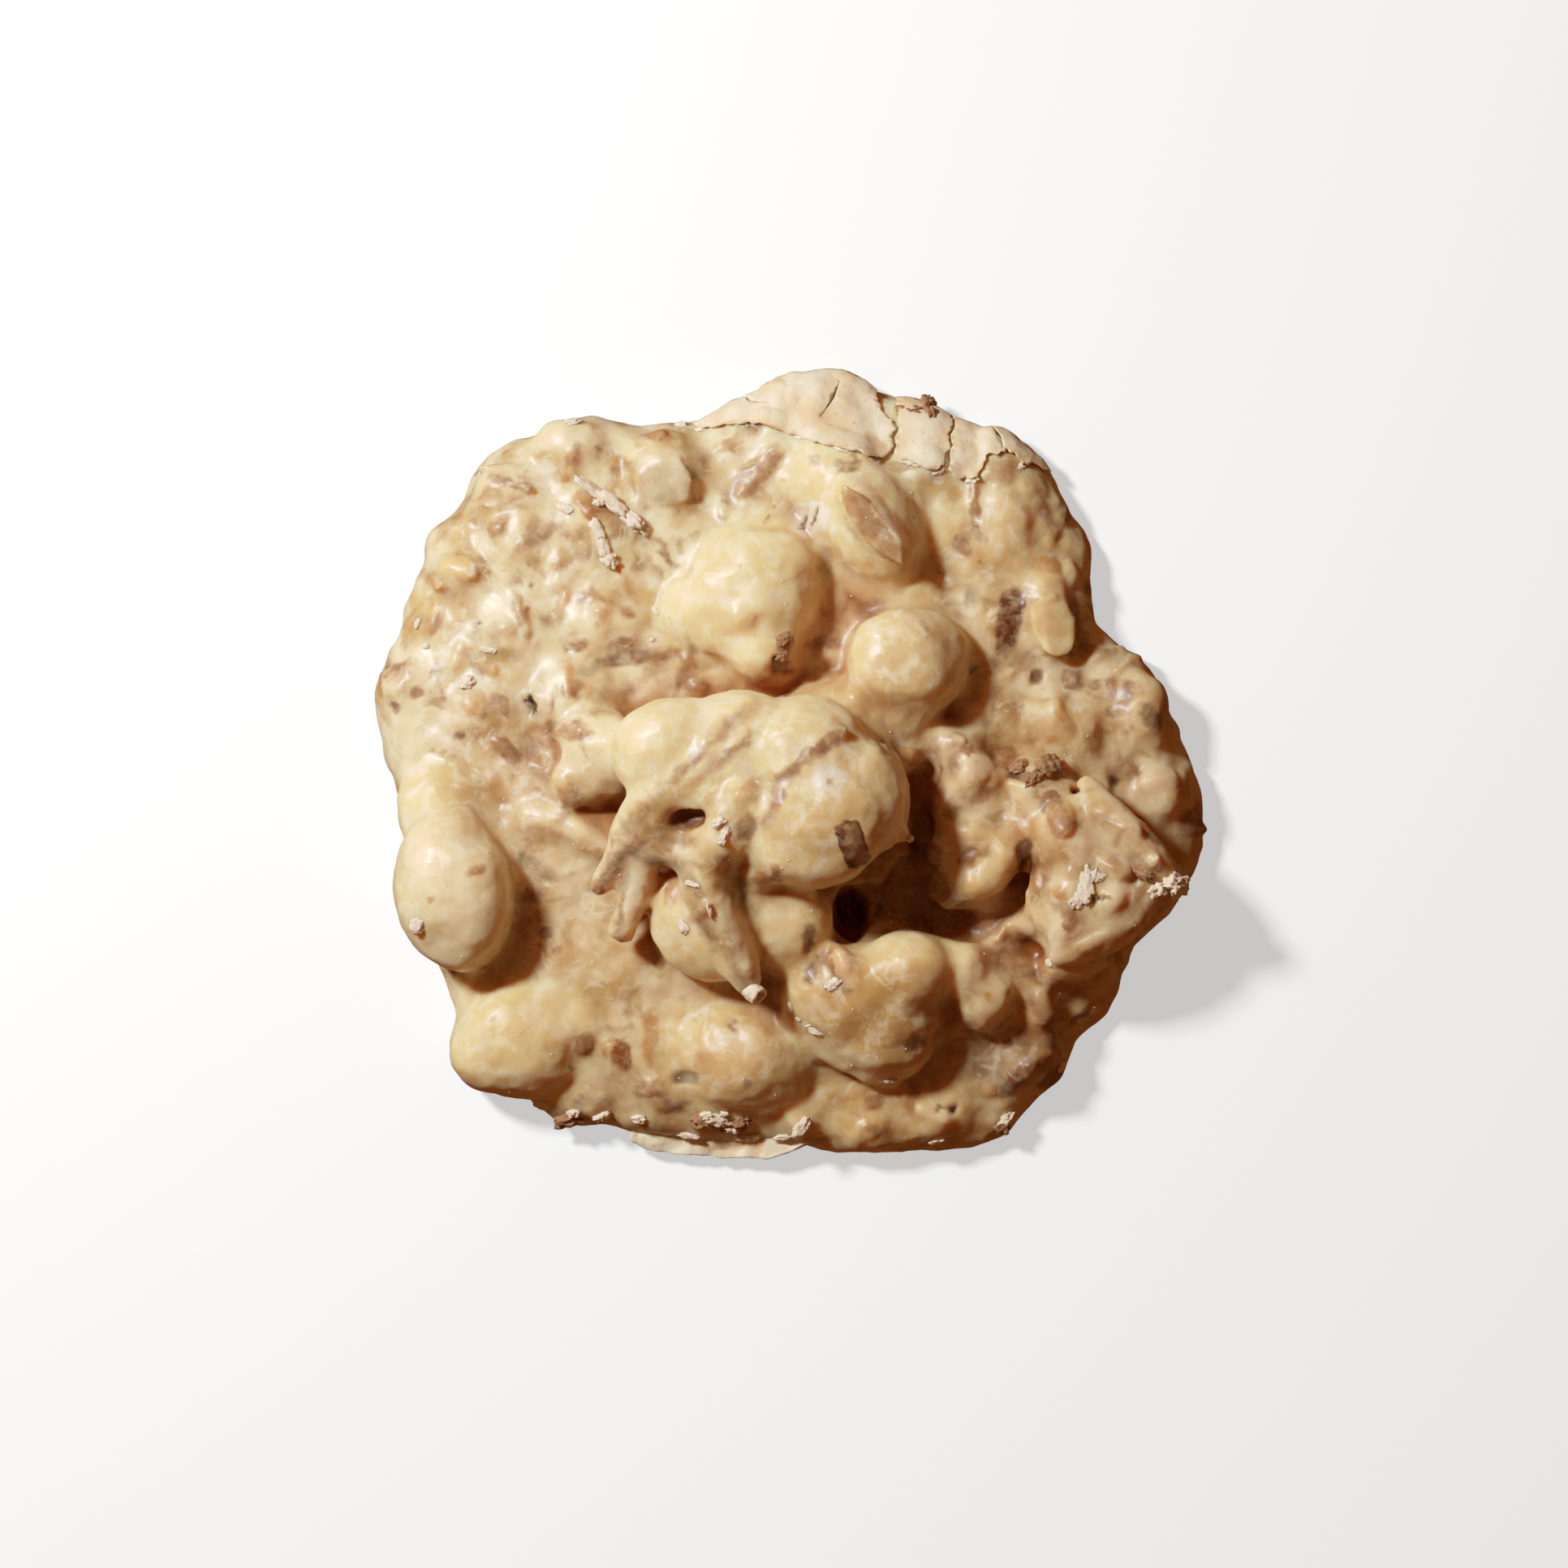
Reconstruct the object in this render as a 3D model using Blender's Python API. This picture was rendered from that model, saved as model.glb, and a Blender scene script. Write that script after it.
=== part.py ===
# Macadamia praline: coated nuts, toasted strands and crumbs set in one uneven patty.
# One piece of food is one solid. It stands on its flat base at z = 0, which is where it set.
# All sizes below are in millimetres. The object is written in metres.

import math
from collections import namedtuple

import bmesh
import bpy
from mathutils import Matrix, Vector, noise
from mathutils.geometry import intersect_point_line

MM = 0.001
NODE_NAME = "praline"

# Driving dimensions
PATTY_WIDTH = 90.0
RIM_HEIGHT = 5.2
PATTY_HEIGHT = 7.4
BASE_SINK = 2.5
COAT_FILLET_STEPS = 7
FORM_VOXEL = 0.8
FINE_VOXEL = 0.62
FINE_FILLET_STEPS = 2
STRAND_GROWTH = 1.18        # the smoothing thins the strands, so they start thicker
STRAND_STEP = 6             # points of the curve per given point
STRAND_ROUNDNESS = 3        # the curve's bevel resolution
LUMP_DETAIL = 3             # subdivisions of a lump's ball
OUTLINE_STEPS = 4           # points of the outline per given point
BASE_TRIM = 0.15            # vertices lower than this are level with the base
TARGET_TRIANGLES = 9600

# The patty seen from above, anticlockwise from the right, for a patty 90 mm wide
OUTLINE = (
    (44.9, -2.5), (43.0, 2.2), (41.1, 6.6), (39.3, 10.3), (36.3, 12.9), (33.4, 15.4),
    (32.6, 18.9), (32.5, 23.8), (30.5, 27.5), (28.6, 31.7), (26.6, 34.5), (23.5, 36.5),
    (18.7, 37.4), (15.6, 39.3), (10.3, 40.3), (6.8, 42.2), (1.1, 42.5), (-3.3, 40.7),
    (-8.0, 38.7), (-9.4, 37.3), (-13.0, 37.3), (-17.4, 36.9), (-22.1, 37.9), (-25.8, 36.8),
    (-30.6, 35.0), (-34.1, 32.1), (-35.9, 28.2), (-39.0, 25.5), (-40.0, 21.6), (-41.6, 18.0),
    (-42.5, 14.1), (-44.1, 11.0), (-45.1, 7.5), (-44.3, 3.5), (-43.4, -1.3), (-41.6, -5.7),
    (-41.2, -13.6), (-38.4, -21.1), (-36.3, -26.0), (-34.8, -30.4), (-32.4, -33.7),
    (-27.4, -36.3), (-24.6, -38.8), (-20.1, -38.8), (-16.7, -39.9), (-13.0, -40.5),
    (-6.4, -40.8), (0.6, -40.5), (4.0, -41.6), (10.3, -42.0), (18.2, -41.4), (23.5, -39.9), (26.1, -36.7),
    (29.7, -33.9), (31.2, -29.9), (34.2, -26.8), (36.0, -23.3), (37.6, -19.4), (41.1, -15.8),
    (43.9, -11.4), (44.8, -6.6),
)
OUTLINE_WIDTH = 90.0

# Rings of the patty's wall and top: how far in from the outline, and how high
PATTY_RINGS = (
    (0.6, -BASE_SINK), (0.0, 0.4), (0.1, 2.2), (0.9, 3.9), (2.6, RIM_HEIGHT),
    (6.0, 6.3), (12.0, PATTY_HEIGHT), (22.0, 7.6), (32.0, 7.6),
)

# The side whose rim slopes gently, as a direction, and how much further in its rings step there
GENTLE_SIDE = Vector((0.72, -0.69))
GENTLE_STEP = 1.3
GENTLE_FALLOFF = 3          # how fast that fades to the sides
INNER_RING = 10.0           # rings this far in step evenly all round

# A lump: its centre, its three half sizes, its turn about Z and its lean, in degrees
Lump = namedtuple("Lump", "x y z rx ry rz turn lean", defaults=(0, 0))

NUTS = (
    # upper middle pair
    Lump(-4.0, 18.6, 7.8, 7.8, 6.9, 6.0, 20), Lump(-2.6, 13.2, 8.6, 5.0, 4.0, 4.4, 60),
    Lump(-9.2, 16.2, 7.6, 4.8, 3.8, 3.6, -20),
    Lump(8.4, 26.4, 7.4, 7.6, 5.4, 5.2, -58), Lump(4.8, 31.6, 6.8, 4.8, 4.4, 3.4),
    # the round one right of the middle
    Lump(12.5, 11.0, 9.8, 6.7, 6.2, 6.2), Lump(10.6, 6.0, 8.4, 5.4, 4.6, 4.4),
    # the pile in the middle, on a hidden layer
    Lump(-12.0, 1.4, 14.4, 7.2, 6.0, 6.0, -10, 6), Lump(-5.0, 2.0, 14.8, 6.6, 6.4, 5.8),
    Lump(1.6, 1.0, 15.6, 6.8, 7.0, 6.2, -30), Lump(3.2, -5.4, 16.4, 8.6, 7.4, 6.9, 30),
    Lump(8.0, -3.2, 14.8, 4.9, 6.4, 6.6, 15),
    Lump(-6.4, -1.0, 8.0, 8.5, 6.5, 6.0), Lump(5.0, 2.0, 8.0, 7.0, 7.0, 6.5),
    # below the pile
    Lump(-8.2, -16.4, 10.2, 7.6, 6.2, 5.5, -38, 4), Lump(-0.6, -16.6, 8.8, 5.8, 5.6, 5.8),
    Lump(-4.6, -15.4, 9.6, 5.0, 5.2, 5.2),
    # left edge
    Lump(-35.8, -13.0, 8.8, 6.7, 9.0, 7.0, 12), Lump(-37.6, -4.6, 5.4, 4.8, 4.8, 3.9),
    # lower right of the middle
    Lump(12.6, -21.8, 10.2, 5.0, 4.6, 4.8), Lump(7.6, -24.8, 8.8, 8.6, 5.8, 5.0, -20),
    Lump(9.0, -28.4, 8.0, 6.8, 4.6, 4.2, -16), Lump(2.0, -25.0, 8.4, 3.8, 3.0, 3.6, -50),
    # low ones sunk in the lower edge
    Lump(-5.0, -31.0, 4.6, 8.2, 6.2, 6.0, -12), Lump(-29.0, -29.4, 3.6, 8.0, 6.6, 6.6, 14),
)

LUMPS = (
    # upper left
    Lump(-13.4, 31.6, 5.6, 4.4, 4.8, 3.2, 20), Lump(-23.6, 34.2, 4.0, 5.2, 3.6, 3.4, 8),
    Lump(-30.4, 29.6, 4.2, 4.4, 3.2, 3.0, 30), Lump(-20.4, 25.2, 6.2, 5.4, 3.4, 2.6, -40),
    Lump(-28.8, 23.4, 5.4, 4.6, 5.2, 2.6), Lump(-35.0, 20.4, 5.0, 3.6, 2.2, 2.4, -12),
    Lump(-20.0, 15.6, 6.4, 5.4, 3.6, 2.6, -8), Lump(-29.0, 14.6, 6.2, 5.2, 4.4, 1.8, 60),
    # left
    Lump(-33.2, 6.2, 6.0, 4.6, 3.0, 2.2, 24), Lump(-40.2, 8.0, 3.8, 3.6, 3.8, 2.2),
    Lump(-27.0, -1.0, 6.4, 5.2, 4.4, 1.8), Lump(-23.6, 7.4, 6.8, 5.6, 4.0, 2.2, 20),
    # the shell by the pile and the lip below it
    Lump(-20.0, 1.6, 9.2, 4.4, 5.2, 4.0, 10), Lump(-23.2, -1.6, 9.8, 2.4, 2.4, 2.4),
    Lump(-20.6, -2.6, 9.8, 2.2, 1.6, 1.9, 20), Lump(-18.0, -2.2, 9.8, 2.0, 1.6, 1.8),
    Lump(-20.2, -7.2, 7.6, 4.4, 2.0, 2.0, -18), Lump(-27.6, -5.6, 6.8, 3.0, 1.6, 1.6, -10),
    # upper right slope
    Lump(14.4, 31.4, 5.6, 4.2, 3.0, 2.2, -20), Lump(22.4, 25.4, 5.8, 3.8, 5.4, 2.0, 20),
    Lump(27.2, 15.8, 6.2, 2.8, 5.8, 2.2, 10), Lump(22.6, 15.6, 6.4, 2.4, 3.8, 2.0, 14),
    # right
    Lump(37.4, 5.6, 4.6, 3.8, 4.8, 3.0), Lump(39.6, -3.2, 4.6, 3.4, 3.6, 2.6),
    Lump(29.4, 4.6, 6.6, 4.4, 3.4, 2.0, -20), Lump(21.0, 6.2, 6.6, 3.8, 4.2, 2.2),
    Lump(17.4, 2.0, 8.4, 3.8, 2.4, 2.6, -30), Lump(19.6, -1.4, 9.0, 3.4, 2.6, 2.6),
    Lump(12.4, 0.8, 9.0, 2.2, 2.0, 2.0), Lump(17.0, -5.0, 8.6, 2.6, 2.8, 2.4),
    Lump(22.4, -4.6, 8.0, 2.4, 2.0, 2.2), Lump(24.4, -24.4, 5.4, 4.0, 5.6, 2.4, 20),
    # under the drapes on the pile
    Lump(-3.4, -10.4, 14.2, 3.2, 2.8, 2.8), Lump(-7.4, -3.0, 16.4, 6.2, 5.0, 3.6, -30), Lump(-12.4, -6.4, 14.6, 4.6, 3.4, 3.0, -30),
    # right of the lower mass
    Lump(18.4, -21.8, 8.0, 3.6, 3.8, 4.2), Lump(21.0, -24.8, 7.6, 3.2, 3.4, 3.6),
    # the tall one near the right edge
    Lump(30.8, -8.6, 8.4, 7.0, 4.8, 5.2, -46), Lump(33.8, -13.4, 9.2, 5.6, 5.0, 4.8, -30),
    Lump(26.2, -2.6, 7.4, 4.6, 4.0, 4.0), Lump(31.0, -20.4, 7.0, 4.2, 2.6, 3.4, 22),
    Lump(34.6, -8.8, 10.8, 4.0, 2.6, 2.4, -42), Lump(31.4, -13.4, 10.0, 4.6, 5.2, 3.8, -30),
    Lump(30.6, -17.6, 9.4, 3.8, 3.2, 3.2, 20), Lump(27.6, -14.6, 7.4, 3.4, 4.8, 3.6),
    Lump(34.4, -10.8, 12.0, 2.8, 1.8, 1.9, -42), Lump(30.4, -11.0, 12.0, 2.2, 1.9, 1.7),
    Lump(29.8, -17.2, 11.6, 2.2, 1.6, 1.5), Lump(34.8, -15.2, 12.2, 2.2, 1.7, 1.5),
    # the crescent right of the pile
    Lump(16.6, -8.2, 8.6, 2.8, 2.4, 2.8), Lump(19.6, -7.4, 9.2, 2.6, 2.3, 2.8),
    Lump(22.8, -9.6, 9.4, 3.2, 2.6, 3.0, 48), Lump(20.2, -12.2, 9.0, 3.2, 2.2, 2.8, 30),
    Lump(17.6, -13.8, 8.2, 2.4, 1.6, 2.2, 30), Lump(19.4, -10.4, 8.0, 3.6, 3.0, 3.0),
    Lump(25.0, -6.8, 8.6, 1.8, 2.4, 2.6),
    # lower edge
    Lump(25.4, -31.0, 4.2, 4.2, 3.4, 2.6, 40), Lump(15.8, -37.0, 3.0, 5.4, 3.4, 2.8), Lump(8.6, -38.0, 2.8, 5.6, 3.2, 2.8),
    Lump(1.4, -37.6, 3.4, 3.6, 3.0, 2.4), Lump(-14.0, -33.8, 4.4, 3.8, 3.2, 2.4),
    Lump(-21.4, -27.2, 6.0, 3.2, 2.4, 2.2, -30), Lump(-14.8, -24.6, 6.2, 2.2, 3.6, 1.4),
)

# Coated strands: points with a radius at each
STRANDS = (
    # the drape that flows off the pile's lower left into the first tine
    ((-3.4, 6.2, 17.0, 2.2), (-8.5, 1.5, 17.6, 2.4), (-13.0, -2.4, 16.8, 2.8),
     (-15.8, -6.0, 15.6, 2.4), (-18.2, -9.4, 14.2, 1.6), (-19.8, -12.2, 12.8, 1.1),
     (-20.6, -13.6, 12.2, 0.7)),
    # its second tine
    ((-15.0, -8.6, 14.8, 1.9), (-16.2, -12.4, 13.0, 1.5), (-17.2, -15.6, 11.8, 1.25),
     (-18.3, -18.2, 10.9, 1.5)),
    # the web between the drapes
    ((-16.0, -7.4, 15.2, 1.8), (-12.6, -8.8, 15.4, 1.7), (-9.4, -9.0, 16.2, 2.0)),
    # the broad drape that crosses the nut below the pile
    ((-3.4, -2.4, 17.6, 3.4), (-7.0, -6.8, 17.0, 3.1), (-8.8, -11.2, 16.2, 2.5),
     (-7.8, -15.4, 15.6, 2.2), (-6.2, -19.0, 15.0, 2.0), (-4.9, -21.8, 14.0, 1.7),
     (-4.0, -23.6, 13.2, 1.3)),
    # the thin lip of the mass at the lower right
    ((-0.4, -25.8, 9.4, 0.9), (2.6, -29.4, 8.6, 1.0), (6.4, -32.0, 7.8, 0.9),
     (10.8, -33.2, 7.2, 0.9), (14.2, -31.4, 7.2, 0.8)),
    # its spike at the upper left
    ((7.4, -22.6, 12.2, 1.6), (5.6, -20.6, 12.4, 1.1), (4.5, -19.0, 12.2, 0.7)),
    # the point on the pile's right side
    ((9.4, -5.4, 17.6, 1.6), (11.6, -7.0, 16.4, 0.9), (12.9, -7.8, 15.6, 0.4)),
    # brow and lip of the shell by the pile
    ((-28.4, -5.2, 7.2, 1.2), (-24.6, -5.8, 8.0, 1.5), (-21.6, -7.4, 8.4, 1.6),
     (-18.8, -9.2, 8.2, 1.3)),
    # upper right nut's ridge
    ((5.6, 30.4, 11.2, 1.0), (8.6, 27.2, 12.8, 1.4), (11.4, 23.0, 12.2, 1.3)),
    # the crest of the tall nut, its lower edge and its tip
    ((31.0, -2.0, 9.6, 1.4), (33.0, -4.2, 10.8, 1.8), (35.6, -6.9, 12.0, 2.0),
     (38.6, -9.8, 12.0, 1.8), (40.8, -11.8, 11.4, 1.3)),
    ((38.6, -11.4, 11.8, 1.4), (36.8, -15.2, 11.2, 1.8), (33.6, -18.0, 10.8, 2.0),
     (30.2, -19.5, 10.6, 1.7), (27.6, -20.9, 10.0, 0.9)),
)

# The thin flange that juts from the lower rim and curls up at its right end
FLANGE = ((-16.4, -40.2, 0.7, 1.1), (-10.2, -41.2, 0.7, 1.1), (-4.6, -41.4, 0.8, 1.1),
          (0.4, -40.8, 1.3, 1.0), (2.6, -39.2, 2.4, 1.0))

# Hollows that show dark between the lumps: centre, then half sizes
HOLLOWS = (
    Lump(6.6, -15.8, 8.4, 2.2, 3.2, 5.8, 10), Lump(-17.6, -4.5, 10.6, 2.8, 1.5, 2.2, 20),
    Lump(-10.6, -5.5, 17.8, 1.7, 1.1, 2.6), Lump(30.6, -2.7, 10.4, 1.1, 0.9, 1.6),
)

# The valley right of the pile, a round channel like a strand
VALLEYS = (
    ((13.4, -1.6, 9.6, 1.2), (14.0, -6.4, 8.8, 2.0), (13.6, -10.6, 8.0, 2.2),
     (10.4, -13.6, 7.4, 2.4), (6.0, -15.8, 7.4, 2.2)),
    ((10.4, -13.6, 7.6, 2.2), (15.4, -16.2, 7.8, 2.0), (20.6, -17.0, 8.2, 1.8),
     (24.3, -13.6, 8.4, 1.5), (25.0, -10.4, 8.6, 1.4), (25.0, -8.0, 9.0, 1.1)),
)

# The dry crust along the upper right rim: its inner edge, its step and where it ends
CRUST_EDGE = (
    (-9.6, 36.6), (-4.6, 37.0), (-0.8, 36.2), (3.4, 34.6), (7.2, 33.8), (9.2, 33.0),
    (12.0, 33.2), (14.4, 32.0), (17.0, 31.4), (19.6, 30.8), (21.6, 33.8), (23.6, 34.0),
    (25.0, 32.4), (28.6, 31.8),
)
CRUST_STEP = 0.6
CRUST_SLOPE = 0.5           # width of the step at its edge
CRUST_OUTSIDE = ((32, 50), (-9.6, 50))      # corners that close its region beyond the rim
CRUST_START = (-10, 30)     # nothing left of the one or below the other is crust

# Crumb relief of the coat: amplitude and the size of one bump
COAT_RELIEF = ((0.42, 5.5), (0.26, 2.6))

# Unevenness of a lump and of a strand: share of its radius, and how fine
LUMP_ROUGHNESS = ((0.11, 1.3), (0.044, 3.1))


def clear_scene():
    for thing in list(bpy.data.objects):
        bpy.data.objects.remove(thing)


def object_from(bm, name):
    """Link a finished bmesh as an object."""
    mesh = bpy.data.meshes.new(name)
    bm.to_mesh(mesh)
    bm.free()
    thing = bpy.data.objects.new(name, mesh)
    bpy.context.scene.collection.objects.link(thing)
    return thing


def apply_modifiers(thing):
    """Bake the modifier stack into the mesh and keep the object."""
    graph = bpy.context.evaluated_depsgraph_get()
    baked = bpy.data.meshes.new_from_object(thing.evaluated_get(graph))
    thing.modifiers.clear()
    thing.data = baked


def smooth_loop(points, steps):
    """Points on a closed Catmull-Rom curve through the given ones."""
    rows = [Vector(p) for p in points]
    found = []
    for i in range(len(rows)):
        a, b, c, d = (rows[(i + k) % len(rows)] for k in (-1, 0, 1, 2))
        for t in (step / steps for step in range(steps)):
            found.append(
                0.5 * (2 * b + (c - a) * t + (2 * a - 5 * b + 4 * c - d) * t * t
                       + (3 * b - a - 3 * c + d) * t ** 3)
            )
    return found


def add_patty(bm):
    """The slab of coating: rings that step in from the outline as they rise."""
    grow = PATTY_WIDTH / OUTLINE_WIDTH
    edge = [p * grow for p in smooth_loop(OUTLINE, OUTLINE_STEPS)]
    rings = []
    for inset, height in PATTY_RINGS:
        ring = []
        for p in edge:
            gentle = max(0, GENTLE_SIDE.dot(p) / p.length) ** GENTLE_FALLOFF * GENTLE_STEP
            step = inset * (1 + gentle) if inset < INNER_RING else inset
            ring.append(bm.verts.new((*(p * (1 - step / p.length)), height)))
        rings.append(ring)
    for low, high in zip(rings, rings[1:]):
        for i in range(len(low)):
            j = (i + 1) % len(low)
            bm.faces.new((low[i], low[j], high[j], high[i]))
    bm.faces.new(list(reversed(rings[0])))
    bm.faces.new(rings[-1])


def add_lump(bm, lump):
    """A nut or clot: a ball stretched to its half sizes, with a gently uneven skin."""
    place = (
        Matrix.Translation((lump.x, lump.y, lump.z))
        @ Matrix.Rotation(math.radians(lump.turn), 4, "Z")
        @ Matrix.Rotation(math.radians(lump.lean), 4, "Y")
        @ Matrix.Diagonal((lump.rx, lump.ry, lump.rz, 1))
    )
    ball = bmesh.ops.create_icosphere(bm, subdivisions=LUMP_DETAIL, radius=1)["verts"]
    for vert in ball:
        spot = vert.co + Vector((lump.x, lump.y, lump.z))
        vert.co *= 1 + sum(share * noise.noise(spot * fine) for share, fine in LUMP_ROUGHNESS)
    bmesh.ops.transform(bm, matrix=place, verts=ball)


def add_strands(bm, rows, growth=1.0):
    """Round strands on smooth curves, as one mesh added to the bmesh."""
    curve = bpy.data.curves.new("strands", "CURVE")
    curve.dimensions = "3D"
    curve.bevel_depth = 1
    curve.bevel_resolution = STRAND_ROUNDNESS
    curve.resolution_u = STRAND_STEP
    curve.use_fill_caps = True
    for row in rows:
        spline = curve.splines.new("BEZIER")
        spline.bezier_points.add(len(row) - 1)
        for point, (x, y, z, radius) in zip(spline.bezier_points, row):
            point.co = (x, y, z)
            point.radius = radius * growth
            point.handle_left_type = point.handle_right_type = "AUTO"
    thing = bpy.data.objects.new("strands", curve)
    bpy.context.scene.collection.objects.link(thing)
    graph = bpy.context.evaluated_depsgraph_get()
    bm.from_mesh(bpy.data.meshes.new_from_object(thing.evaluated_get(graph)))
    bpy.data.objects.remove(thing)


def fuse(thing, voxel, steps):
    """Grow closed shapes that cross into one skin, and round the creases between them."""
    remesh = thing.modifiers.new("fuse", "REMESH")
    remesh.mode = "VOXEL"
    remesh.voxel_size = voxel
    soften = thing.modifiers.new("soften", "SMOOTH")
    soften.factor = 0.5
    soften.iterations = steps
    apply_modifiers(thing)


def cut_out(thing, bm):
    """Take the closed shapes of a bmesh out of a piece."""
    bmesh.ops.recalc_face_normals(bm, faces=bm.faces)
    cutter = object_from(bm, "cutter")
    cut = thing.modifiers.new("cut", "BOOLEAN")
    cut.operation = "DIFFERENCE"
    cut.object = cutter
    apply_modifiers(thing)
    bpy.data.objects.remove(cutter)


def cut_hollows(thing):
    """Take the dark hollows and the valley out of the pile."""
    for hollow in HOLLOWS:
        bm = bmesh.new()
        add_lump(bm, hollow)
        cut_out(thing, bm)
    for valley in VALLEYS:
        bm = bmesh.new()
        add_strands(bm, [valley])
        cut_out(thing, bm)


def inside(point, corners):
    """True if a point lies inside a closed polygon."""
    found = False
    for a, b in zip(corners, corners[1:] + corners[:1]):
        if (a.y > point.y) != (b.y > point.y):
            if point.x < a.x + (point.y - a.y) / (b.y - a.y) * (b.x - a.x):
                found = not found
    return found


def crust_height(point, edge, region):
    """Height of the dry crust over the coat, which ends in a steep step."""
    near = min(
        (point - min(max(intersect_point_line(point, a, b)[1], 0), 1) * (b - a) - a).length
        for a, b in zip(edge, edge[1:])
    )
    if not inside(point, region):
        return 0.0
    return CRUST_STEP * min(1.0, near / CRUST_SLOPE)


def add_relief(thing):
    """Crumb relief over the whole skin, and the dry crust on the upper right rim."""
    edge = [Vector(p) for p in CRUST_EDGE]
    region = edge + [Vector(p) for p in CRUST_OUTSIDE]
    mesh = thing.data
    rises = []
    for vert in mesh.vertices:
        rise = sum(size * noise.noise(vert.co / bump) for size, bump in COAT_RELIEF)
        if vert.co.x > CRUST_START[0] and vert.co.y > CRUST_START[1]:
            rise += crust_height(vert.co.to_2d(), edge, region)
        rises.append(vert.co + vert.normal * rise)
    for vert, place in zip(mesh.vertices, rises):
        vert.co = place


def flatten_base(thing):
    """Cut the piece level where it set on the tray, and close the cut."""
    bm = bmesh.new()
    bm.from_mesh(thing.data)
    cut = bmesh.ops.bisect_plane(
        bm, geom=bm.verts[:] + bm.edges[:] + bm.faces[:], dist=1e-4,
        plane_co=(0, 0, 0), plane_no=(0, 0, -1), clear_outer=True,
    )
    rim = [e for e in cut["geom_cut"] if isinstance(e, bmesh.types.BMEdge)]
    bmesh.ops.edgeloop_fill(bm, edges=rim)
    bmesh.ops.triangulate(bm, faces=[f for f in bm.faces if len(f.verts) > 4])
    bm.to_mesh(thing.data)
    bm.free()


def thin_out(thing):
    """Collapse the skin to the triangle budget, keeping the flat base flat."""
    mesh = thing.data
    mesh.calc_loop_triangles()
    thin = thing.modifiers.new("thin", "DECIMATE")
    thin.ratio = TARGET_TRIANGLES / len(mesh.loop_triangles)
    thin.use_collapse_triangulate = True
    apply_modifiers(thing)
    for vert in thing.data.vertices:
        if vert.co.z < BASE_TRIM:
            vert.co.z = 0.0


def coat_material():
    coat = bpy.data.materials.new("caramel_coat")
    coat.use_nodes = True
    shader = coat.node_tree.nodes["Principled BSDF"]
    shader.inputs["Base Color"].default_value = (0.69, 0.50, 0.28, 1)
    shader.inputs["Roughness"].default_value = 0.42
    shader.inputs["Metallic"].default_value = 0.0
    return coat


def build_praline():
    bm = bmesh.new()
    add_patty(bm)
    for lump in NUTS + LUMPS:
        add_lump(bm, lump)
    add_strands(bm, STRANDS + (FLANGE,), STRAND_GROWTH)
    bmesh.ops.recalc_face_normals(bm, faces=bm.faces)
    praline = object_from(bm, NODE_NAME)
    fuse(praline, FORM_VOXEL, COAT_FILLET_STEPS)
    cut_hollows(praline)
    fuse(praline, FINE_VOXEL, FINE_FILLET_STEPS)
    add_relief(praline)
    flatten_base(praline)
    thin_out(praline)
    praline.data.transform(Matrix.Scale(MM, 4))
    praline.data.materials.clear()
    praline.data.materials.append(coat_material())
    praline.data.shade_smooth()
    return praline


clear_scene()
build_praline()
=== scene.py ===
import math
import random
from collections import namedtuple

import bmesh
import bpy
import numpy as np
from mathutils import Matrix, Vector, noise
from mathutils.bvhtree import BVHTree


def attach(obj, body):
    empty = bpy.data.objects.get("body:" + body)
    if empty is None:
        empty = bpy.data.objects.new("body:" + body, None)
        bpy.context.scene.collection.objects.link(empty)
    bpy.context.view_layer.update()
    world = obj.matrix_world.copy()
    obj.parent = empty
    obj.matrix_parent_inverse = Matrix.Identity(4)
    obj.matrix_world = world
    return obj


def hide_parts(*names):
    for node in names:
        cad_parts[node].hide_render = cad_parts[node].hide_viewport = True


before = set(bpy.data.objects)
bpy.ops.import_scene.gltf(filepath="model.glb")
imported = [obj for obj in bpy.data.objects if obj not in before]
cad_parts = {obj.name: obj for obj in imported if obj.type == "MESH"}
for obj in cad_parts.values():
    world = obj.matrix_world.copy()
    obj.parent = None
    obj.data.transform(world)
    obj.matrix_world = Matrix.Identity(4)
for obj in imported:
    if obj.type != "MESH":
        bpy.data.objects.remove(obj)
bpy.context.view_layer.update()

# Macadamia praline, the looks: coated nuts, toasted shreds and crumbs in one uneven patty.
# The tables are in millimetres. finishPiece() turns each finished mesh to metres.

mm = 0.001
bodyName = "root"
up = Vector((0, 0, 1))
skyHigh = 90    # above every part of the piece

# A lump: its centre, its three half sizes, its turn about Z and its lean, in degrees
Lump = namedtuple("Lump", "x y z rx ry rz turn lean", defaults=(0, 0))

# A mark on the coat, seen from above: its middle, length, width, turn in degrees,
# tone, how far it stands proud, how strong its colour is and how soft its edge is
Mark = namedtuple("Mark", "x y length width turn tone rise strength soft",
                  defaults=(0, "brown", 0.1, 0.8, 0.3))

# A wash: a broad and faint change of the coat's colour, under the marks; some washes paint shade and some
# paint light, as noted at each
Wash = namedtuple("Wash", "x y length width turn tone strength")

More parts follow.
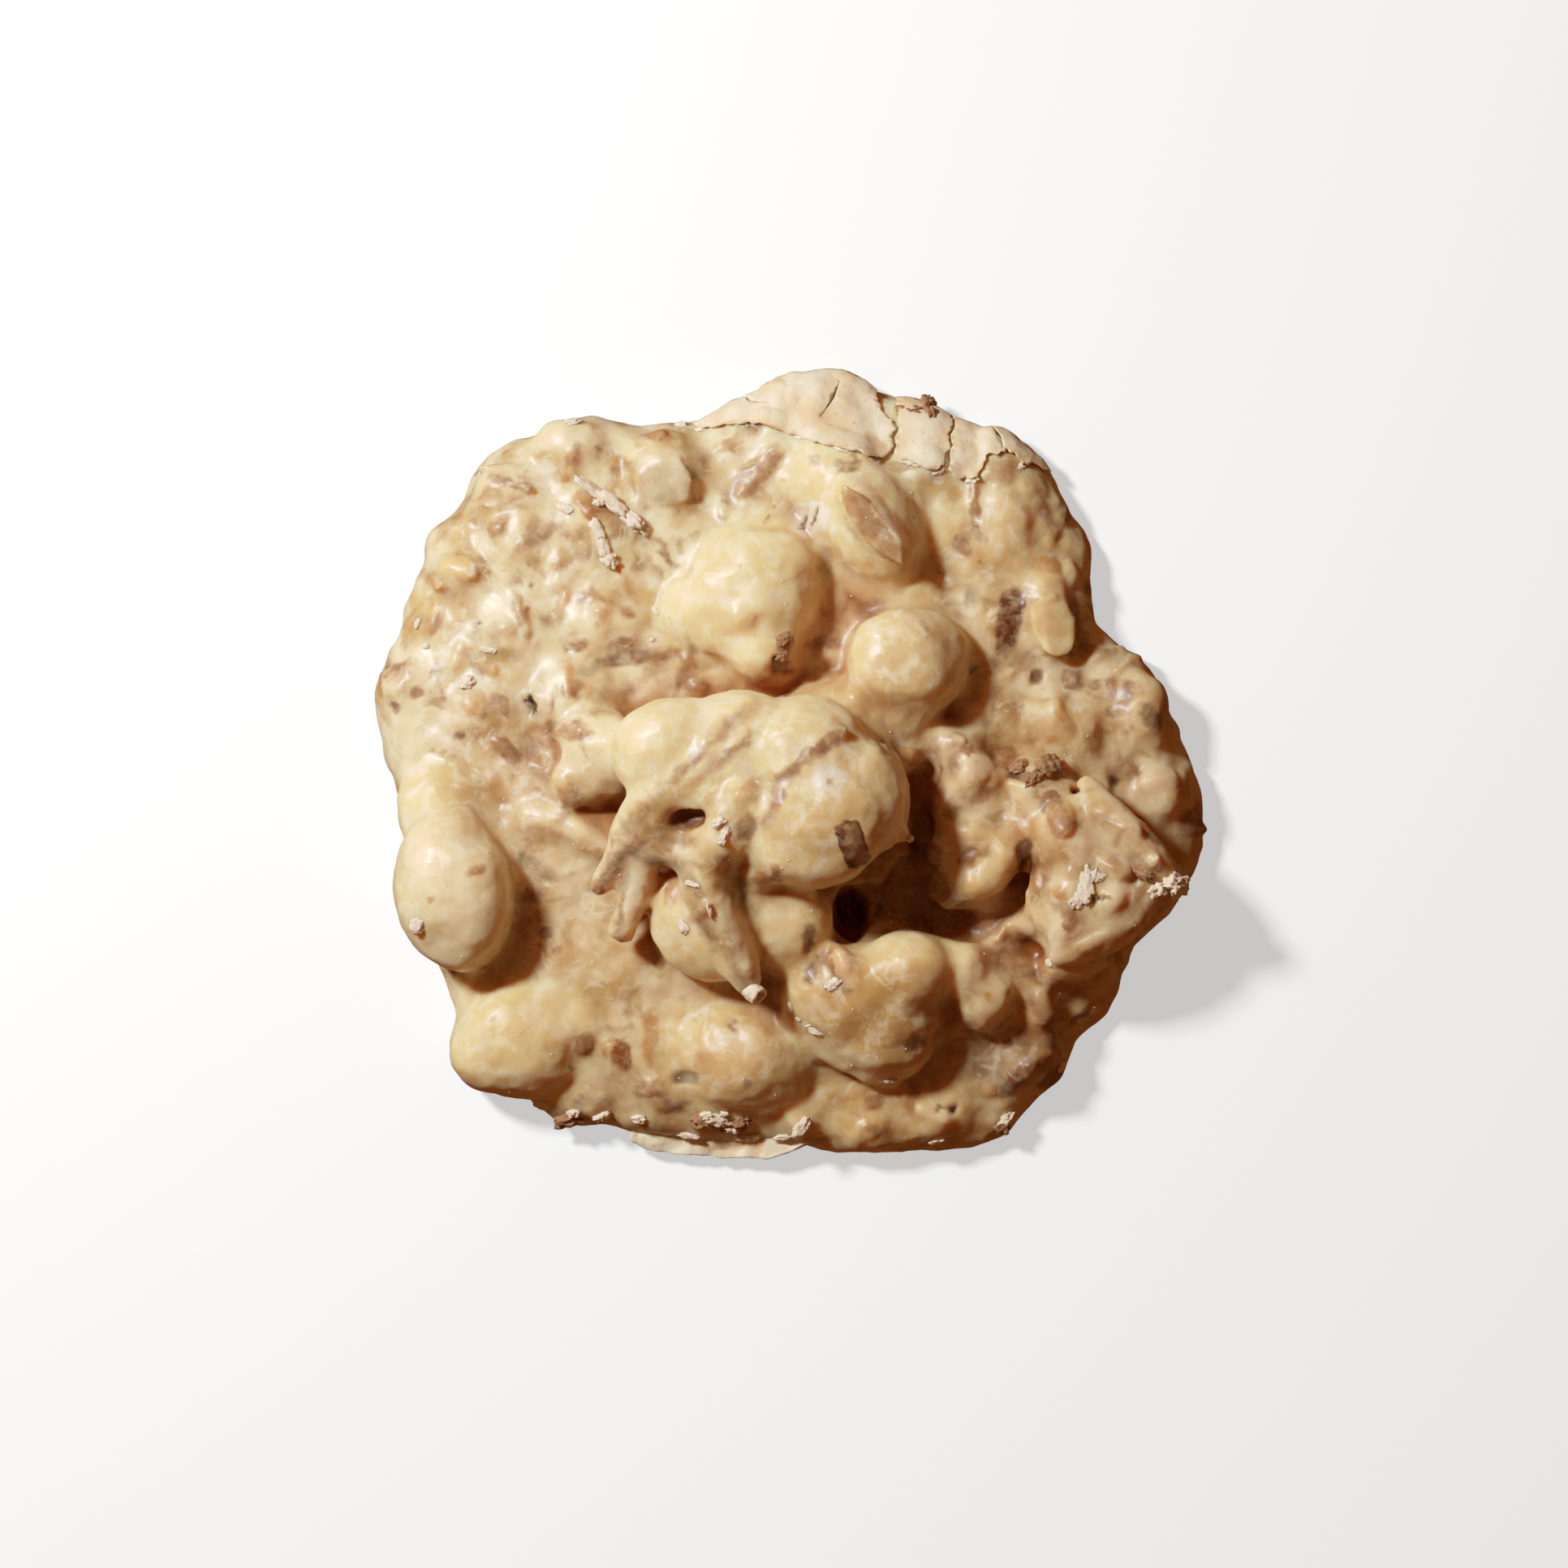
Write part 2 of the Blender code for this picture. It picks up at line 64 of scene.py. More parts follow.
patty = {
    # seen from above, anticlockwise from the right
    "outline": (
        (44.9, -2.5), (43.0, 2.2), (41.1, 6.6), (39.3, 10.3), (36.3, 12.9), (33.4, 15.4),
        (32.6, 18.9), (32.5, 23.8), (30.5, 27.5), (28.6, 31.7), (26.6, 34.5), (23.5, 36.5),
        (18.7, 37.4), (15.6, 39.3), (10.3, 40.3), (6.8, 42.2), (1.1, 42.5), (-3.3, 40.7),
        (-8.0, 38.7), (-9.4, 37.3), (-13.0, 37.3), (-17.4, 36.9), (-22.1, 37.9),
        (-25.8, 36.8), (-30.6, 35.0), (-34.1, 32.1), (-35.9, 28.2), (-39.0, 25.5),
        (-40.0, 21.6), (-41.6, 18.0), (-42.5, 14.1), (-44.1, 11.0), (-45.1, 7.5),
        (-44.3, 3.5), (-43.4, -1.3), (-41.6, -5.7), (-41.2, -13.6), (-38.4, -21.1),
        (-36.3, -26.0), (-34.8, -30.4), (-32.4, -33.7), (-27.4, -36.3), (-24.6, -38.8),
        (-20.1, -38.8), (-16.7, -39.9), (-13.0, -40.5), (-6.4, -40.8), (0.6, -40.5),
        (4.0, -41.6), (10.3, -42.0), (18.2, -41.4), (23.5, -39.9), (26.1, -36.7), (29.7, -33.9),
        (31.2, -29.9), (34.2, -26.8), (36.0, -23.3), (37.6, -19.4), (41.1, -15.8),
        (43.9, -11.4), (44.8, -6.6),
    ),
    # how far in from the outline, and how high
    "rings": ((0.6, -2.5), (0.0, 0.4), (0.1, 2.2), (0.9, 3.9), (2.6, 5.2), (6.0, 6.3),
              (12.0, 7.4), (22.0, 7.6), (32.0, 7.6)),
    "edgeSteps": 4,                # points between two of the outline's
    "gentle": (0.72, -0.69, 1.3),  # the side whose rim slopes gently, and how much more
    "rimDepth": 10,                # how far in that reaches
    "formVoxel": 0.6,              # the voxels that fuse the lumps, and the rounds of smoothing
    "formFillet": 8,
    "drapeFillet": 3,
    "cutVoxel": 0.7,
    "fineVoxel": 0.30,
    "fineFillet": 9,
    "drapeGrow": 1.18,             # the smoothing thins the drapes, so they start thicker
    "triangles": 188000,
}

nuts = [Lump(*row) for row in (
    # upper middle pair
    (-4, 18.6, 7.8, 7.8, 6.9, 6, 20), (-2.6, 13.2, 8.6, 5, 4, 4.4, 60),
    (-9.2, 16.2, 7.6, 4.8, 3.8, 3.6, -20), (8.4, 26.4, 7.4, 7.6, 5.4, 5.2, -58),
    (4.8, 31.6, 6.8, 4.8, 4.4, 3.4),
    # the round one right of the middle
    (12.5, 11, 9.8, 6.7, 6.2, 6.2), (10.6, 6, 8.4, 5.4, 4.6, 4.4),
    # the pile in the middle, on a hidden layer
    (-12, 1.4, 14.4, 7.2, 6, 6, -10, 6), (-5, 2, 14.8, 6.6, 6.4, 5.8), (1.6, 1, 15.6, 6.8, 7, 6.2, -30),
    (3.2, -5.4, 16.4, 8.6, 7.4, 6.9, 30), (8, -3.2, 14.8, 4.9, 6.4, 6.6, 15),
    (-6.4, -1, 8, 8.5, 6.5, 6), (5, 2, 8, 7, 7, 6.5),
    # below the pile
    (-8.2, -16.4, 10.2, 7.6, 6.2, 5.5, -38, 4), (-0.6, -16.6, 8.8, 5.8, 5.6, 5.8),
    (-4.6, -15.4, 9.6, 5, 5.2, 5.2),
    # left edge
    (-35.8, -13, 8.8, 6.7, 9, 7, 12), (-37.6, -4.6, 5.4, 4.8, 4.8, 3.9),
    # lower right of the middle
    (12.6, -21.8, 10.2, 5, 4.6, 4.8), (7.6, -24.8, 8.8, 8.6, 5.8, 5, -20),
    (9, -28.4, 8, 6.8, 4.6, 4.2, -16), (2, -25, 8.4, 3.8, 3, 3.6, -50),
    # low ones sunk in the lower edge
    (-5, -31, 4.6, 8.2, 6.2, 6, -12), (-29, -29.4, 3.6, 8, 6.6, 6.6, 14),
)]

clots = [Lump(*row) for row in (
    # upper left
    (-13.4, 31.6, 5.6, 4.4, 4.8, 3.2, 20), (-23.6, 34.2, 4, 5.2, 3.6, 3.4, 8),
    (-30.4, 29.6, 4.2, 4.4, 3.2, 3, 30), (-20.4, 25.2, 6.2, 5.4, 3.4, 2.6, -40),
    (-28.8, 23.4, 5.4, 4.6, 5.2, 2.6), (-35, 20.4, 5, 3.6, 2.2, 2.4, -12),
    (-20, 15.6, 6.4, 5.4, 3.6, 2.6, -8), (-29, 14.6, 6.2, 5.2, 4.4, 1.8, 60),
    # left
    (-33.2, 6.2, 6, 4.6, 3, 2.2, 24), (-40.2, 8, 3.8, 3.6, 3.8, 2.2), (-27, -1, 6.4, 5.2, 4.4, 1.8),
    (-23.6, 7.4, 6.8, 5.6, 4, 2.2, 20),
    # the shell by the pile and the lip below it
    (-20, 1.6, 9.2, 4.4, 5.2, 4, 10), (-23.2, -1.6, 9.8, 2.4, 2.4, 2.4),
    (-20.6, -2.6, 9.8, 2.2, 1.6, 1.9, 20), (-18, -2.2, 9.8, 2, 1.6, 1.8),
    (-20.2, -7.2, 7.6, 4.4, 2, 2, -18), (-27.6, -5.6, 6.8, 3, 1.6, 1.6, -10),
    # upper right slope
    (14.4, 31.4, 5.6, 4.2, 3, 2.2, -20), (22.4, 25.4, 5.8, 3.8, 5.4, 2, 20),
    (27.2, 15.8, 6.2, 2.8, 5.8, 2.2, 10), (22.6, 15.6, 6.4, 2.4, 3.8, 2, 14),
    # right
    (37.4, 5.6, 4.6, 3.8, 4.8, 3), (39.6, -3.2, 4.6, 3.4, 3.6, 2.6), (29.4, 4.6, 6.6, 4.4, 3.4, 2, -20),
    (21, 6.2, 6.6, 3.8, 4.2, 2.2), (17.4, 2, 8.4, 3.8, 2.4, 2.6, -30), (19.6, -1.4, 9, 3.4, 2.6, 2.6),
    (12.4, 0.8, 9, 2.2, 2, 2), (17, -5, 8.6, 2.6, 2.8, 2.4), (22.4, -4.6, 8, 2.4, 2, 2.2),
    (24.4, -24.4, 5.4, 4, 5.6, 2.4, 20),
    # under the drapes on the pile
    (-3.4, -10.4, 14.2, 3.2, 2.8, 2.8), (-7.4, -3, 16.4, 6.2, 5, 3.6, -30),
    (-12.4, -6.4, 14.6, 4.6, 3.4, 3, -30),
    # right of the lower mass
    (18.4, -21.8, 8, 3.6, 3.8, 4.2), (21, -24.8, 7.6, 3.2, 3.4, 3.6),
    # the tall one near the right edge
    (30.8, -8.6, 8.4, 7, 4.8, 5.2, -46), (33.8, -13.4, 9.2, 5.6, 5, 4.8, -30),
    (26.2, -2.6, 7.4, 4.6, 4, 4), (31, -20.4, 7, 4.2, 2.6, 3.4, 22),
    (34.6, -8.8, 10.8, 4, 2.6, 2.4, -42), (31.4, -13.4, 10, 4.6, 5.2, 3.8, -30),
    (30.6, -17.6, 9.4, 3.8, 3.2, 3.2, 20), (27.6, -14.6, 7.4, 3.4, 4.8, 3.6),
    (34.4, -10.8, 12, 2.8, 1.8, 1.9, -42), (30.4, -11, 12, 2.2, 1.9, 1.7),
    (29.8, -17.2, 11.6, 2.2, 1.6, 1.5), (34.8, -15.2, 12.2, 2.2, 1.7, 1.5),
    # the crescent right of the pile
    (16.6, -8.2, 8.6, 2.8, 2.4, 2.8), (19.6, -7.4, 9.2, 2.6, 2.3, 2.8),
    (22.8, -9.6, 9.4, 3.2, 2.6, 3, 48), (20.2, -12.2, 9, 3.2, 2.2, 2.8, 30),
    (17.6, -13.8, 8.2, 2.4, 1.6, 2.2, 30), (19.4, -10.4, 8, 3.6, 3, 3), (25, -6.8, 8.6, 1.8, 2.4, 2.6),
    # lower edge
    (25.4, -31, 4.2, 4.2, 3.4, 2.6, 40), (15.8, -37, 3, 5.4, 3.4, 2.8), (8.6, -38, 2.8, 5.6, 3.2, 2.8),
    (1.4, -37.6, 3.4, 3.6, 3, 2.4), (-14, -33.8, 4.4, 3.8, 3.2, 2.4),
    (-21.4, -27.2, 6, 3.2, 2.4, 2.2, -30), (-14.8, -24.6, 6.2, 2.2, 3.6, 1.4),
)]

# Coated drapes and strands: points with a radius at each
strands = (
    # the drape that flows off the pile's lower left into the first tine
    ((-3.4, 6.2, 17.0, 2.2), (-8.5, 1.5, 17.6, 2.4), (-13.0, -2.4, 16.8, 2.8),
     (-15.8, -6.0, 15.6, 2.4), (-18.2, -9.4, 14.2, 1.6), (-19.8, -12.2, 12.8, 1.1),
     (-20.6, -13.6, 12.2, 0.7)),
    # its second tine
    ((-15.0, -8.6, 14.8, 1.9), (-16.2, -12.4, 13.0, 1.5), (-17.2, -15.6, 11.8, 1.25),
     (-18.3, -18.2, 10.9, 1.5)),
    # the web between the drapes
    ((-16.0, -7.4, 15.2, 1.8), (-12.6, -8.8, 15.4, 1.7), (-9.4, -9.0, 16.2, 2.0)),
    # the broad drape that crosses the nut below the pile
    ((-3.4, -2.4, 17.6, 3.4), (-7.0, -6.8, 17.0, 3.1), (-8.8, -11.2, 16.2, 2.5),
     (-7.8, -15.4, 15.6, 2.2), (-6.2, -19.0, 15.0, 2.0), (-4.9, -21.8, 14.0, 1.7),
     (-4.0, -23.6, 13.2, 1.3)),
    # the thin lip of the mass at the lower right
    ((-0.4, -25.8, 9.4, 0.9), (2.6, -29.4, 8.6, 1.0), (6.4, -32.0, 7.8, 0.9),
     (10.8, -33.2, 7.2, 0.9), (14.2, -31.4, 7.2, 0.8)),
    # its spike at the upper left
    ((7.4, -22.6, 12.2, 1.6), (5.6, -20.6, 12.4, 1.1), (4.5, -19.0, 12.2, 0.7)),
    # the point on the pile's right side
    ((9.4, -5.4, 17.6, 1.6), (11.6, -7.0, 16.4, 0.9), (12.9, -7.8, 15.6, 0.4)),
    # brow and lip of the shell by the pile
    ((-28.4, -5.2, 7.2, 1.2), (-24.6, -5.8, 8.0, 1.5), (-21.6, -7.4, 8.4, 1.6),
     (-18.8, -9.2, 8.2, 1.3)),
    # upper right nut's ridge
    ((5.6, 30.4, 11.2, 1.0), (8.6, 27.2, 12.8, 1.4), (11.4, 23.0, 12.2, 1.3)),
    # the crest of the tall nut, its lower edge and its tip
    ((31.0, -2.0, 9.6, 1.4), (33.0, -4.2, 10.8, 1.8), (35.6, -6.9, 12.0, 2.0),
     (38.6, -9.8, 12.0, 1.8), (40.8, -11.8, 11.4, 1.3)),
    ((38.6, -11.4, 11.8, 1.4), (36.8, -15.2, 11.2, 1.8), (33.6, -18.0, 10.8, 2.0),
     (30.2, -19.5, 10.6, 1.7), (27.6, -20.9, 10.0, 0.9)),
)

# Hollows that show dark between the lumps
hollows = [Lump(*row) for row in (
    (6.6, -15.8, 8.4, 2.2, 3.2, 5.8, 10), (-17.6, -4.5, 10.6, 2.8, 1.5, 2.2, 20),
    (-10.6, -5.6, 18.4, 2.5, 1.4, 1.5, 12), (30.6, -2.7, 10.4, 1.1, 0.9, 1.6),
)]

# The valley right of the pile, a round channel like a strand
valleys = (
    ((13.4, -1.6, 9.6, 1.2), (14.0, -6.4, 8.8, 2.0), (13.6, -10.6, 8.0, 2.2),
     (10.4, -13.6, 7.4, 2.4), (6.0, -15.8, 7.4, 2.2)),
    ((10.4, -13.6, 7.6, 2.2), (15.4, -16.2, 7.8, 2.0), (20.6, -17.0, 8.2, 1.8),
     (24.3, -13.6, 8.4, 1.5), (25.0, -10.4, 8.6, 1.4), (25.0, -8.0, 9.0, 1.1)),
)

# The bits that show in the coat, read from the photo piece by piece, with some marks of painted shade among
# them
marks = [Mark(*row) for row in (
    # upper left
    (-29.8, 30.4, 4.8, 1, -15, "maroon", 0.2, 0.7), (-24.5, 31, 1.7, 1.5, 0, "orange", 0.3),
    (-18.6, 32.9, 2, 1, 0, "orange"), (-14.3, 35.7, 2.8, 1.4, 0, "brown", 0.3),
    (-10.7, 31.5, 1.8, 1.6, 0, "ash"), (-12.7, 28.7, 2.2, 1.4, 30, "maroon", 0),
    (-13.1, 22.3, 2.5, 0.8, -50, "maroon"), (-31.2, 26, 3.1, 1.4, 50, "mauve", 0.3),
    (-27.3, 22, 1.6, 1.4, 0, "brown", 0.1, 0.6), (-22.2, 18, 1.6, 1.4, 0, "mauve"),
    (-28.8, 16.3, 5, 1.3, -75, "brown", 0.5, 0.7), (-38.2, 15.2, 3, 1, 60, "mauve", 0.2),
    (-43.3, 10.2, 1.3, 1.3), (-40.2, 8.1, 1.6, 1.6, 0, "mauve", 0.2), (-37.2, 7.6, 1.1, 1.1),
    (-42.5, 6.5, 1.7, 1.2, -30, "maroon", -0.1), (-33.4, 10.4, 1.1, 1.1),
    (-31.8, 10.2, 1.6, 1.3, 0, "orange", 0.3), (-33.9, 6.9, 2.8, 2.6, 90, "orange", 0.2, 0.6),
    (-30.8, 6.6, 3.2, 1.8, -20, "mauve", 0.4), (-25.4, 6.7, 1.8, 0.8, 90, "mauve"),
    (-35.3, 3.5, 1.2, 1.1, 0, "maroon"), (-23.2, 8.4, 2.4, 1.5, 45, "brown", 0.2, 0.6),
    (-23.6, 3.8, 5.6, 1.7, -12, "mauve", 0.5), (-22.5, 13, 1.6, 1.4), (-17.4, 13.3, 3.2, 1, 4),
    (-21.5, 10.2, 2.2, 1.3, 0, "ash"), (-17.4, 16.6, 1.5, 1.3, 0, "brown", 0.3),
    (-20.5, 34.2, 0.8, 0.7), (-27.8, 6.4, 4.6, 4.4, 0, "ash", 0.1, 0.35, 0.8),
    (-27.8, 6.5, 1.9, 0.9, 90, "pit", -0.6, 1), (-27.5, 19.6, 0.5, 0.5, 0, "pit", -0.2),
    (-33.4, 15.2, 0.6, 0.5, 0, "pit", -0.2), (-23.8, 12.5, 0.6, 0.5, 0, "pit", -0.2),
    (-35.4, 21.4, 4.4, 2.2, -20, "gold", 0.35, 0.7, 0.25),
    (-33.8, 20.9, 1, 1.8, -20, "bloom", 0.2, 0.9), (-20.8, 27.6, 5.6, 2.6, -40, "brown", 0.5, 0.7),
    (-28, 24.8, 3.6, 1.2, 60, "mauve", 0.2, 0.6), (-23.2, 33.4, 2.6, 1.2, 70, "brown", 0.3, 0.7),
    (-13.6, 30.2, 6, 4.6, 10, "ash", 0.1, 0.45, 0.9), (-17, 11.6, 7.6, 1.6, 6, "maroon", 0.2, 0.7),
    # upper middle
    (-4, 36.6, 1.7, 0.7, -20, "maroon", -0.1), (-4, 31.2, 8.6, 2.5, 44, "mauve", 0.6),
    (6.2, 32.1, 2.6, 1.5, 10, "maroon"), (2.5, 32.8, 1.4, 1.2, 0, "mauve"),
    (8.7, 25.5, 9.8, 2.8, -52, "mauve", 0.3, 0.7, 0.6),
    (10.4, 25.6, 6, 0.9, -50, "cream", 0.2, 0.7, 0.4), (6.8, 25.2, 5, 0.8, -56, "umber", 0, 0.6, 0.5),
    (12.1, 32.1, 2.8, 1.3, 0, "mauve"), (19.9, 28.2, 6.2, 1.1, -88, "brown", 0.2),
    # the brown mark at 3.8, 21.7 is painted shadow between two nuts
    (18.5, 23.7, 2.4, 2, 90, "mauve"), (3.8, 21.7, 3, 1.6, 80, "brown", 0, 0.6, 0.5),
    (14.6, 14.4, 2, 0.8, -70), (-4.8, 15.6, 2.6, 2.4, 0, "orange", 0.6, 0.5, 0.6),
    (-0.4, 13, 2, 1.8, 0, "brown", 0.5), (-0.9, 10.7, 2.4, 2, 0, "maroon", -0.5),
    (8.7, 16.6, 3.5, 2.6, 20, "mauve", 0, 0.6, 0.6), (10, 6.9, 2.5, 2, 0, "orange", 0, 0.5, 0.6),
    (13, 9.9, 1.5, 1.2, 0, "orange", 0, 0.4, 0.6), (4.2, 13.3, 3, 1.5, 0, "mauve"),
    (19.6, 10.5, 0.7, 0.6, 0, "pit"),
    # right
    (23.5, 15.6, 6.7, 2.6, 80, "maroon", -0.1, 1), (19.5, 18.3, 2.2, 1.6, 90, "ash"),
    (26.4, 9.6, 1.6, 1.5, 0, "maroon", -0.3), (22.2, 7.9, 2.4, 1.8, 90, "brown", 0, 0.6, 0.5),
    (27.8, 21.7, 2.6, 2, 0, "orange", 0.3), (28.3, 15, 7, 4.4, -75, "gold", 0.4, 0.6, 0.25),
    # the mauve strip at 30.9, 15.6 is painted shadow along the right side of the raised flake
    (30.9, 15.6, 6, 1.3, -75, "mauve"), (30.3, 9.4, 2.6, 2.4, 90, "mauve", 0.5),
    (36.2, 8.1, 2, 1.2, 90, "maroon"), (32.8, 8.8, 1.8, 1.2), (35.1, 6.2, 2.6, 2.2, 0, "mauve", 0.2),
    # the brown streak at 29.2, 26 is painted shadow
    (38.9, 5.2, 3.4, 2.2, -50, "maroon", 0, 0.7, 0.4), (29.2, 26, 6, 1.4, 60, "brown", 0.2, 0.7),
    (32.3, 19.2, 1.6, 1.2, 90, "maroon"), (27.6, 29.3, 1, 0.9, 0, "orange", 0.2),
    (10.1, 2, 2.1, 1, -45, "maroon", -0.2), (22.8, 32.2, 4.4, 3.2, 60, "brown", 0.6, 0.55, 0.5),
    (13.4, 38.2, 4, 2.6, 0, "orange", 0, 1), (13.3, 1.2, 2.4, 1.9, 0, "orange", 0.4),
    (18.8, 1.8, 1.5, 1.2, 0, "brown", 0.2), (22.7, 1, 3, 2.8, 0, "brown", 0.4),
    (24.4, -0.7, 2.2, 1.6, 0, "maroon", -0.6), (28.4, -5.1, 5.5, 2.5, -65, "mauve", 0.5),
    (34.8, -1.6, 1.3, 0.7, 90, "pit", -0.2), (32.8, 2.4, 2.5, 2.2, 0, "orange", 0.1, 0.5, 0.5),
    (28.1, 2.9, 1.3, 1.1, 0, "orange"), (43.5, -6.1, 3.5, 3, 0, "mauve", 0, 0.8, 0.4),
    (25, -6.6, 3, 2.8, 0, "orange", 0, 0.8, 0.6), (25, -9.2, 3, 1.6, 90, "maroon", -0.2),
    (19.6, -9.4, 3.4, 1.8, 30, "brown", 0.3), (15.3, -9.7, 2.6, 1.8, 90, "maroon", 0.2),
    (28.6, -13.5, 1.7, 1.5, 0, "orange", 0.3), (30.8, -8.6, 4.6, 2.8, -40, "cream", 0.5, 0.5, 0.7),
    (33.2, -5.6, 4.4, 1.8, -40, "mauve", 0.4, 0.6, 0.6),
    (37.4, -8.6, 5, 1.7, -42, "rose", 0.3, 0.7, 0.6),
    (34.4, -10.4, 4.2, 2, -30, "mauve", 0.5, 0.5, 0.7),
    (37.1, -13.4, 3.6, 1.5, 60, "brown", 0.4, 0.7, 0.5),
    (35, -13.6, 3.4, 2.4, 30, "cream", 0.5, 0.6, 0.6),
    (28.4, -18.2, 3.8, 2.2, 70, "cream", 0.5, 0.7, 0.5), (33, -18.4, 6, 1.8, 20, "rose", 0.3, 0.7, 0.6),
    (27.2, -9.8, 2.8, 1.8, 80, "mauve", 0.3, 0.5, 0.6),
    (30.2, -11, 2.2, 1.2, 10, "brown", 0.3, 0.5, 0.6), (29.6, -16.2, 2.2, 1.6, 90, "mauve", 0.2, 0.9),
    (32.6, -14, 2.6, 0.6, 15, "maroon", -0.2), (14.3, -15.9, 0.6, 0.5, 0, "pit"),
    (19.9, 0, 3.6, 2.8, 10, "cream", 0.4, 0.5, 0.5), (39.6, -1.3, 4, 3.2, 0, "cream", 0.2, 0.5, 0.6),
    (25.5, -22, 3, 1.5, 0, "maroon", 0, 0.6, 0.4), (25.3, -18.3, 1.3, 1.1),
    (31.2, -27, 2.4, 0.8, 35, "maroon", -0.1),
    # the pile
    (6.6, -8.2, 5, 2.8, -70, "maroon", 0, 1, 0.1), (6.8, -7.9, 4, 1.6, -70, "mauve", 0, 1, 0.12),
    (4.1, -1.3, 3.6, 2.8, -20, "bloom", 0.3, 0.9), (4.3, -1.4, 0.9, 0.7, 0, "ash", -0.1, 0.6),
    (2.1, 26.5, 4.4, 3.6, 0, "bloom", 0.2, 0.85), (1.6, 26.3, 1.8, 0.35, 80, "pit", -0.2),
    (2.6, 26.6, 2, 0.35, 70, "pit", -0.2), (-2, 27.3, 1.6, 0.25, 60, "pit", 0),
    (-4.6, -6.4, 3, 2, 70, "mauve"), (3.4, 2.2, 6.4, 1.6, 34, "mauve", 0.1, 1, 0.5),
    (-0.4, -0.9, 5.8, 1.3, 44, "mauve", 0, 1, 0.5), (-1.4, -3.8, 4.6, 1.2, 64, "mauve", 0, 1, 0.5),
    (0.8, 1.6, 5, 0.8, 36, "cream", 0.1, 0.8, 0.4), (-10.2, 0.6, 6.2, 1.1, 46, "mauve", 0, 1, 0.5),
    (-6.2, 4.4, 5.8, 1.6, 36, "mauve", 0, 0.8, 0.6), (-7, 1.4, 5.4, 0.9, 42, "cream", 0.1, 0.8, 0.4),
    # the umber marks that follow are painted shade on the drapes' shaded flanks, undersides and tips
    (-5.4, 1.9, 4.6, 1, 44, "mauve", 0, 0.9, 0.5), (-3.4, -2.6, 5.6, 1.2, 52, "umber", 0, 0.5, 0.6),
    (-15.4, -4.8, 6.6, 1.6, 44, "umber", 0, 0.55, 0.7), (-19, -11, 6.4, 1.7, 56, "umber", 0, 0.75, 0.6),
    (-20.4, -13.2, 1.8, 1.5, 0, "umber", 0, 0.9), (-17.9, -15.6, 6.2, 1.3, 75, "umber", 0, 0.75, 0.6),
    (-18.3, -18.4, 1.8, 1.6, 0, "umber", 0, 0.7, 0.6),
    (-16.9, -13.6, 3.6, 0.9, 75, "cream", 0, 0.7, 0.4), (-14, -9.9, 6, 1.2, -8, "umber", 0, 0.7, 0.6),
    (-10.4, -12.4, 6.2, 1.3, -55, "umber", 0, 0.65, 0.6),
    (-8.9, -16.8, 6, 1.2, -62, "umber", 0, 0.7, 0.6), (-5, -13.6, 5.6, 1.2, -62, "umber", 0, 0.6, 0.6),
    (-5.6, -21.6, 4.6, 1, -58, "umber", 0, 0.6, 0.5), (-10.6, -5.5, 4, 2.4, 10, "maroon", 0, 0.8, 0.7),
    (-3.1, -11.7, 1.7, 1.5, 0, "orange"), (-1.4, -11.5, 1.8, 1.3, 90),
    (-12.7, -13.6, 2.6, 1.2, 80, "orange"), (2.2, -18.3, 2.8, 1.4, 80, "maroon", -0.2),
    # the first mark below is painted shade, a soft dark patch over the deep hole right of the pile
    (6.6, -15.6, 5, 4.6, 0, "pit", 0, 0.8, 0.9), (2.1, -22, 2.2, 1.3, 60, "maroon"),
    (3.9, -20, 2.6, 1, 50, "brown", 0.2), (5.6, -21.2, 3.8, 1.9, -60, "rose", 0.3),
    (6.2, -23.8, 1.5, 1.1), (4.6, -21.6, 2.4, 0.8, -65, "brown", 0),
    (13.2, -29.6, 2.2, 1.4, 20, "maroon", -0.1), (21.3, -24.6, 1.4, 1.3, 0, "orange"),
    # lower left and the lower edge
    (-33.2, -10.9, 1.8, 0.9, 20), (-38.1, -14, 0.7, 0.6, 0, "orange"), (-33, -21.4, 1.3, 0.5),
    (-26.1, -17.9, 1.4, 1.2, 0, "maroon", 0, 0.8, 0.4),
    (-27.5, -13.8, 2, 1.4, 0, "maroon", 0, 0.7, 0.5), (-24.9, -19.7, 1, 0.9),
    (-21.9, -29.8, 2.6, 2.2, 80, "brown", 0.6), (-19.3, -30.1, 2.4, 1.6, 0, "orange", 0.5),
    (-18, -30.9, 3.2, 2.4, 80, "brown", 0.4, 1), (-14.8, -28.2, 3.6, 1.8, 88, "orange", 0.2, 0.7),
    (-9.1, -31.3, 2.8, 1.7, -20, "orange", 0, 0.5, 0.6), (-11, -33.4, 3, 1.5, 0, "ash", -0.2),
    (-5.9, -27.7, 1.7, 1, -50, "maroon", -0.1), (-15.2, -34.6, 3.4, 2, 0, "mauve", 0.3),
    (-12.4, -36.5, 3, 1.6, 0, "mauve", 0.2), (9, -36, 2.3, 1.8, 0, "brown", 0.2),
    (16, -36.7, 1.2, 0.9, 40, "pit", -0.2, 0.7), (17.7, -36.8, 1.1, 1.1, 0, "pit", -0.5, 0.9),
    (23.4, -29.7, 1.3, 1.2, 0, "maroon"), (24.4, -33.5, 5.4, 1.6, 50, "maroon", 0.2),
    (28.5, -33.9, 3, 2.4, 40, "maroon", 0, 0.8, 0.4), (40.8, 7.3, 1.2, 0.8, 60, "pit"),
)]

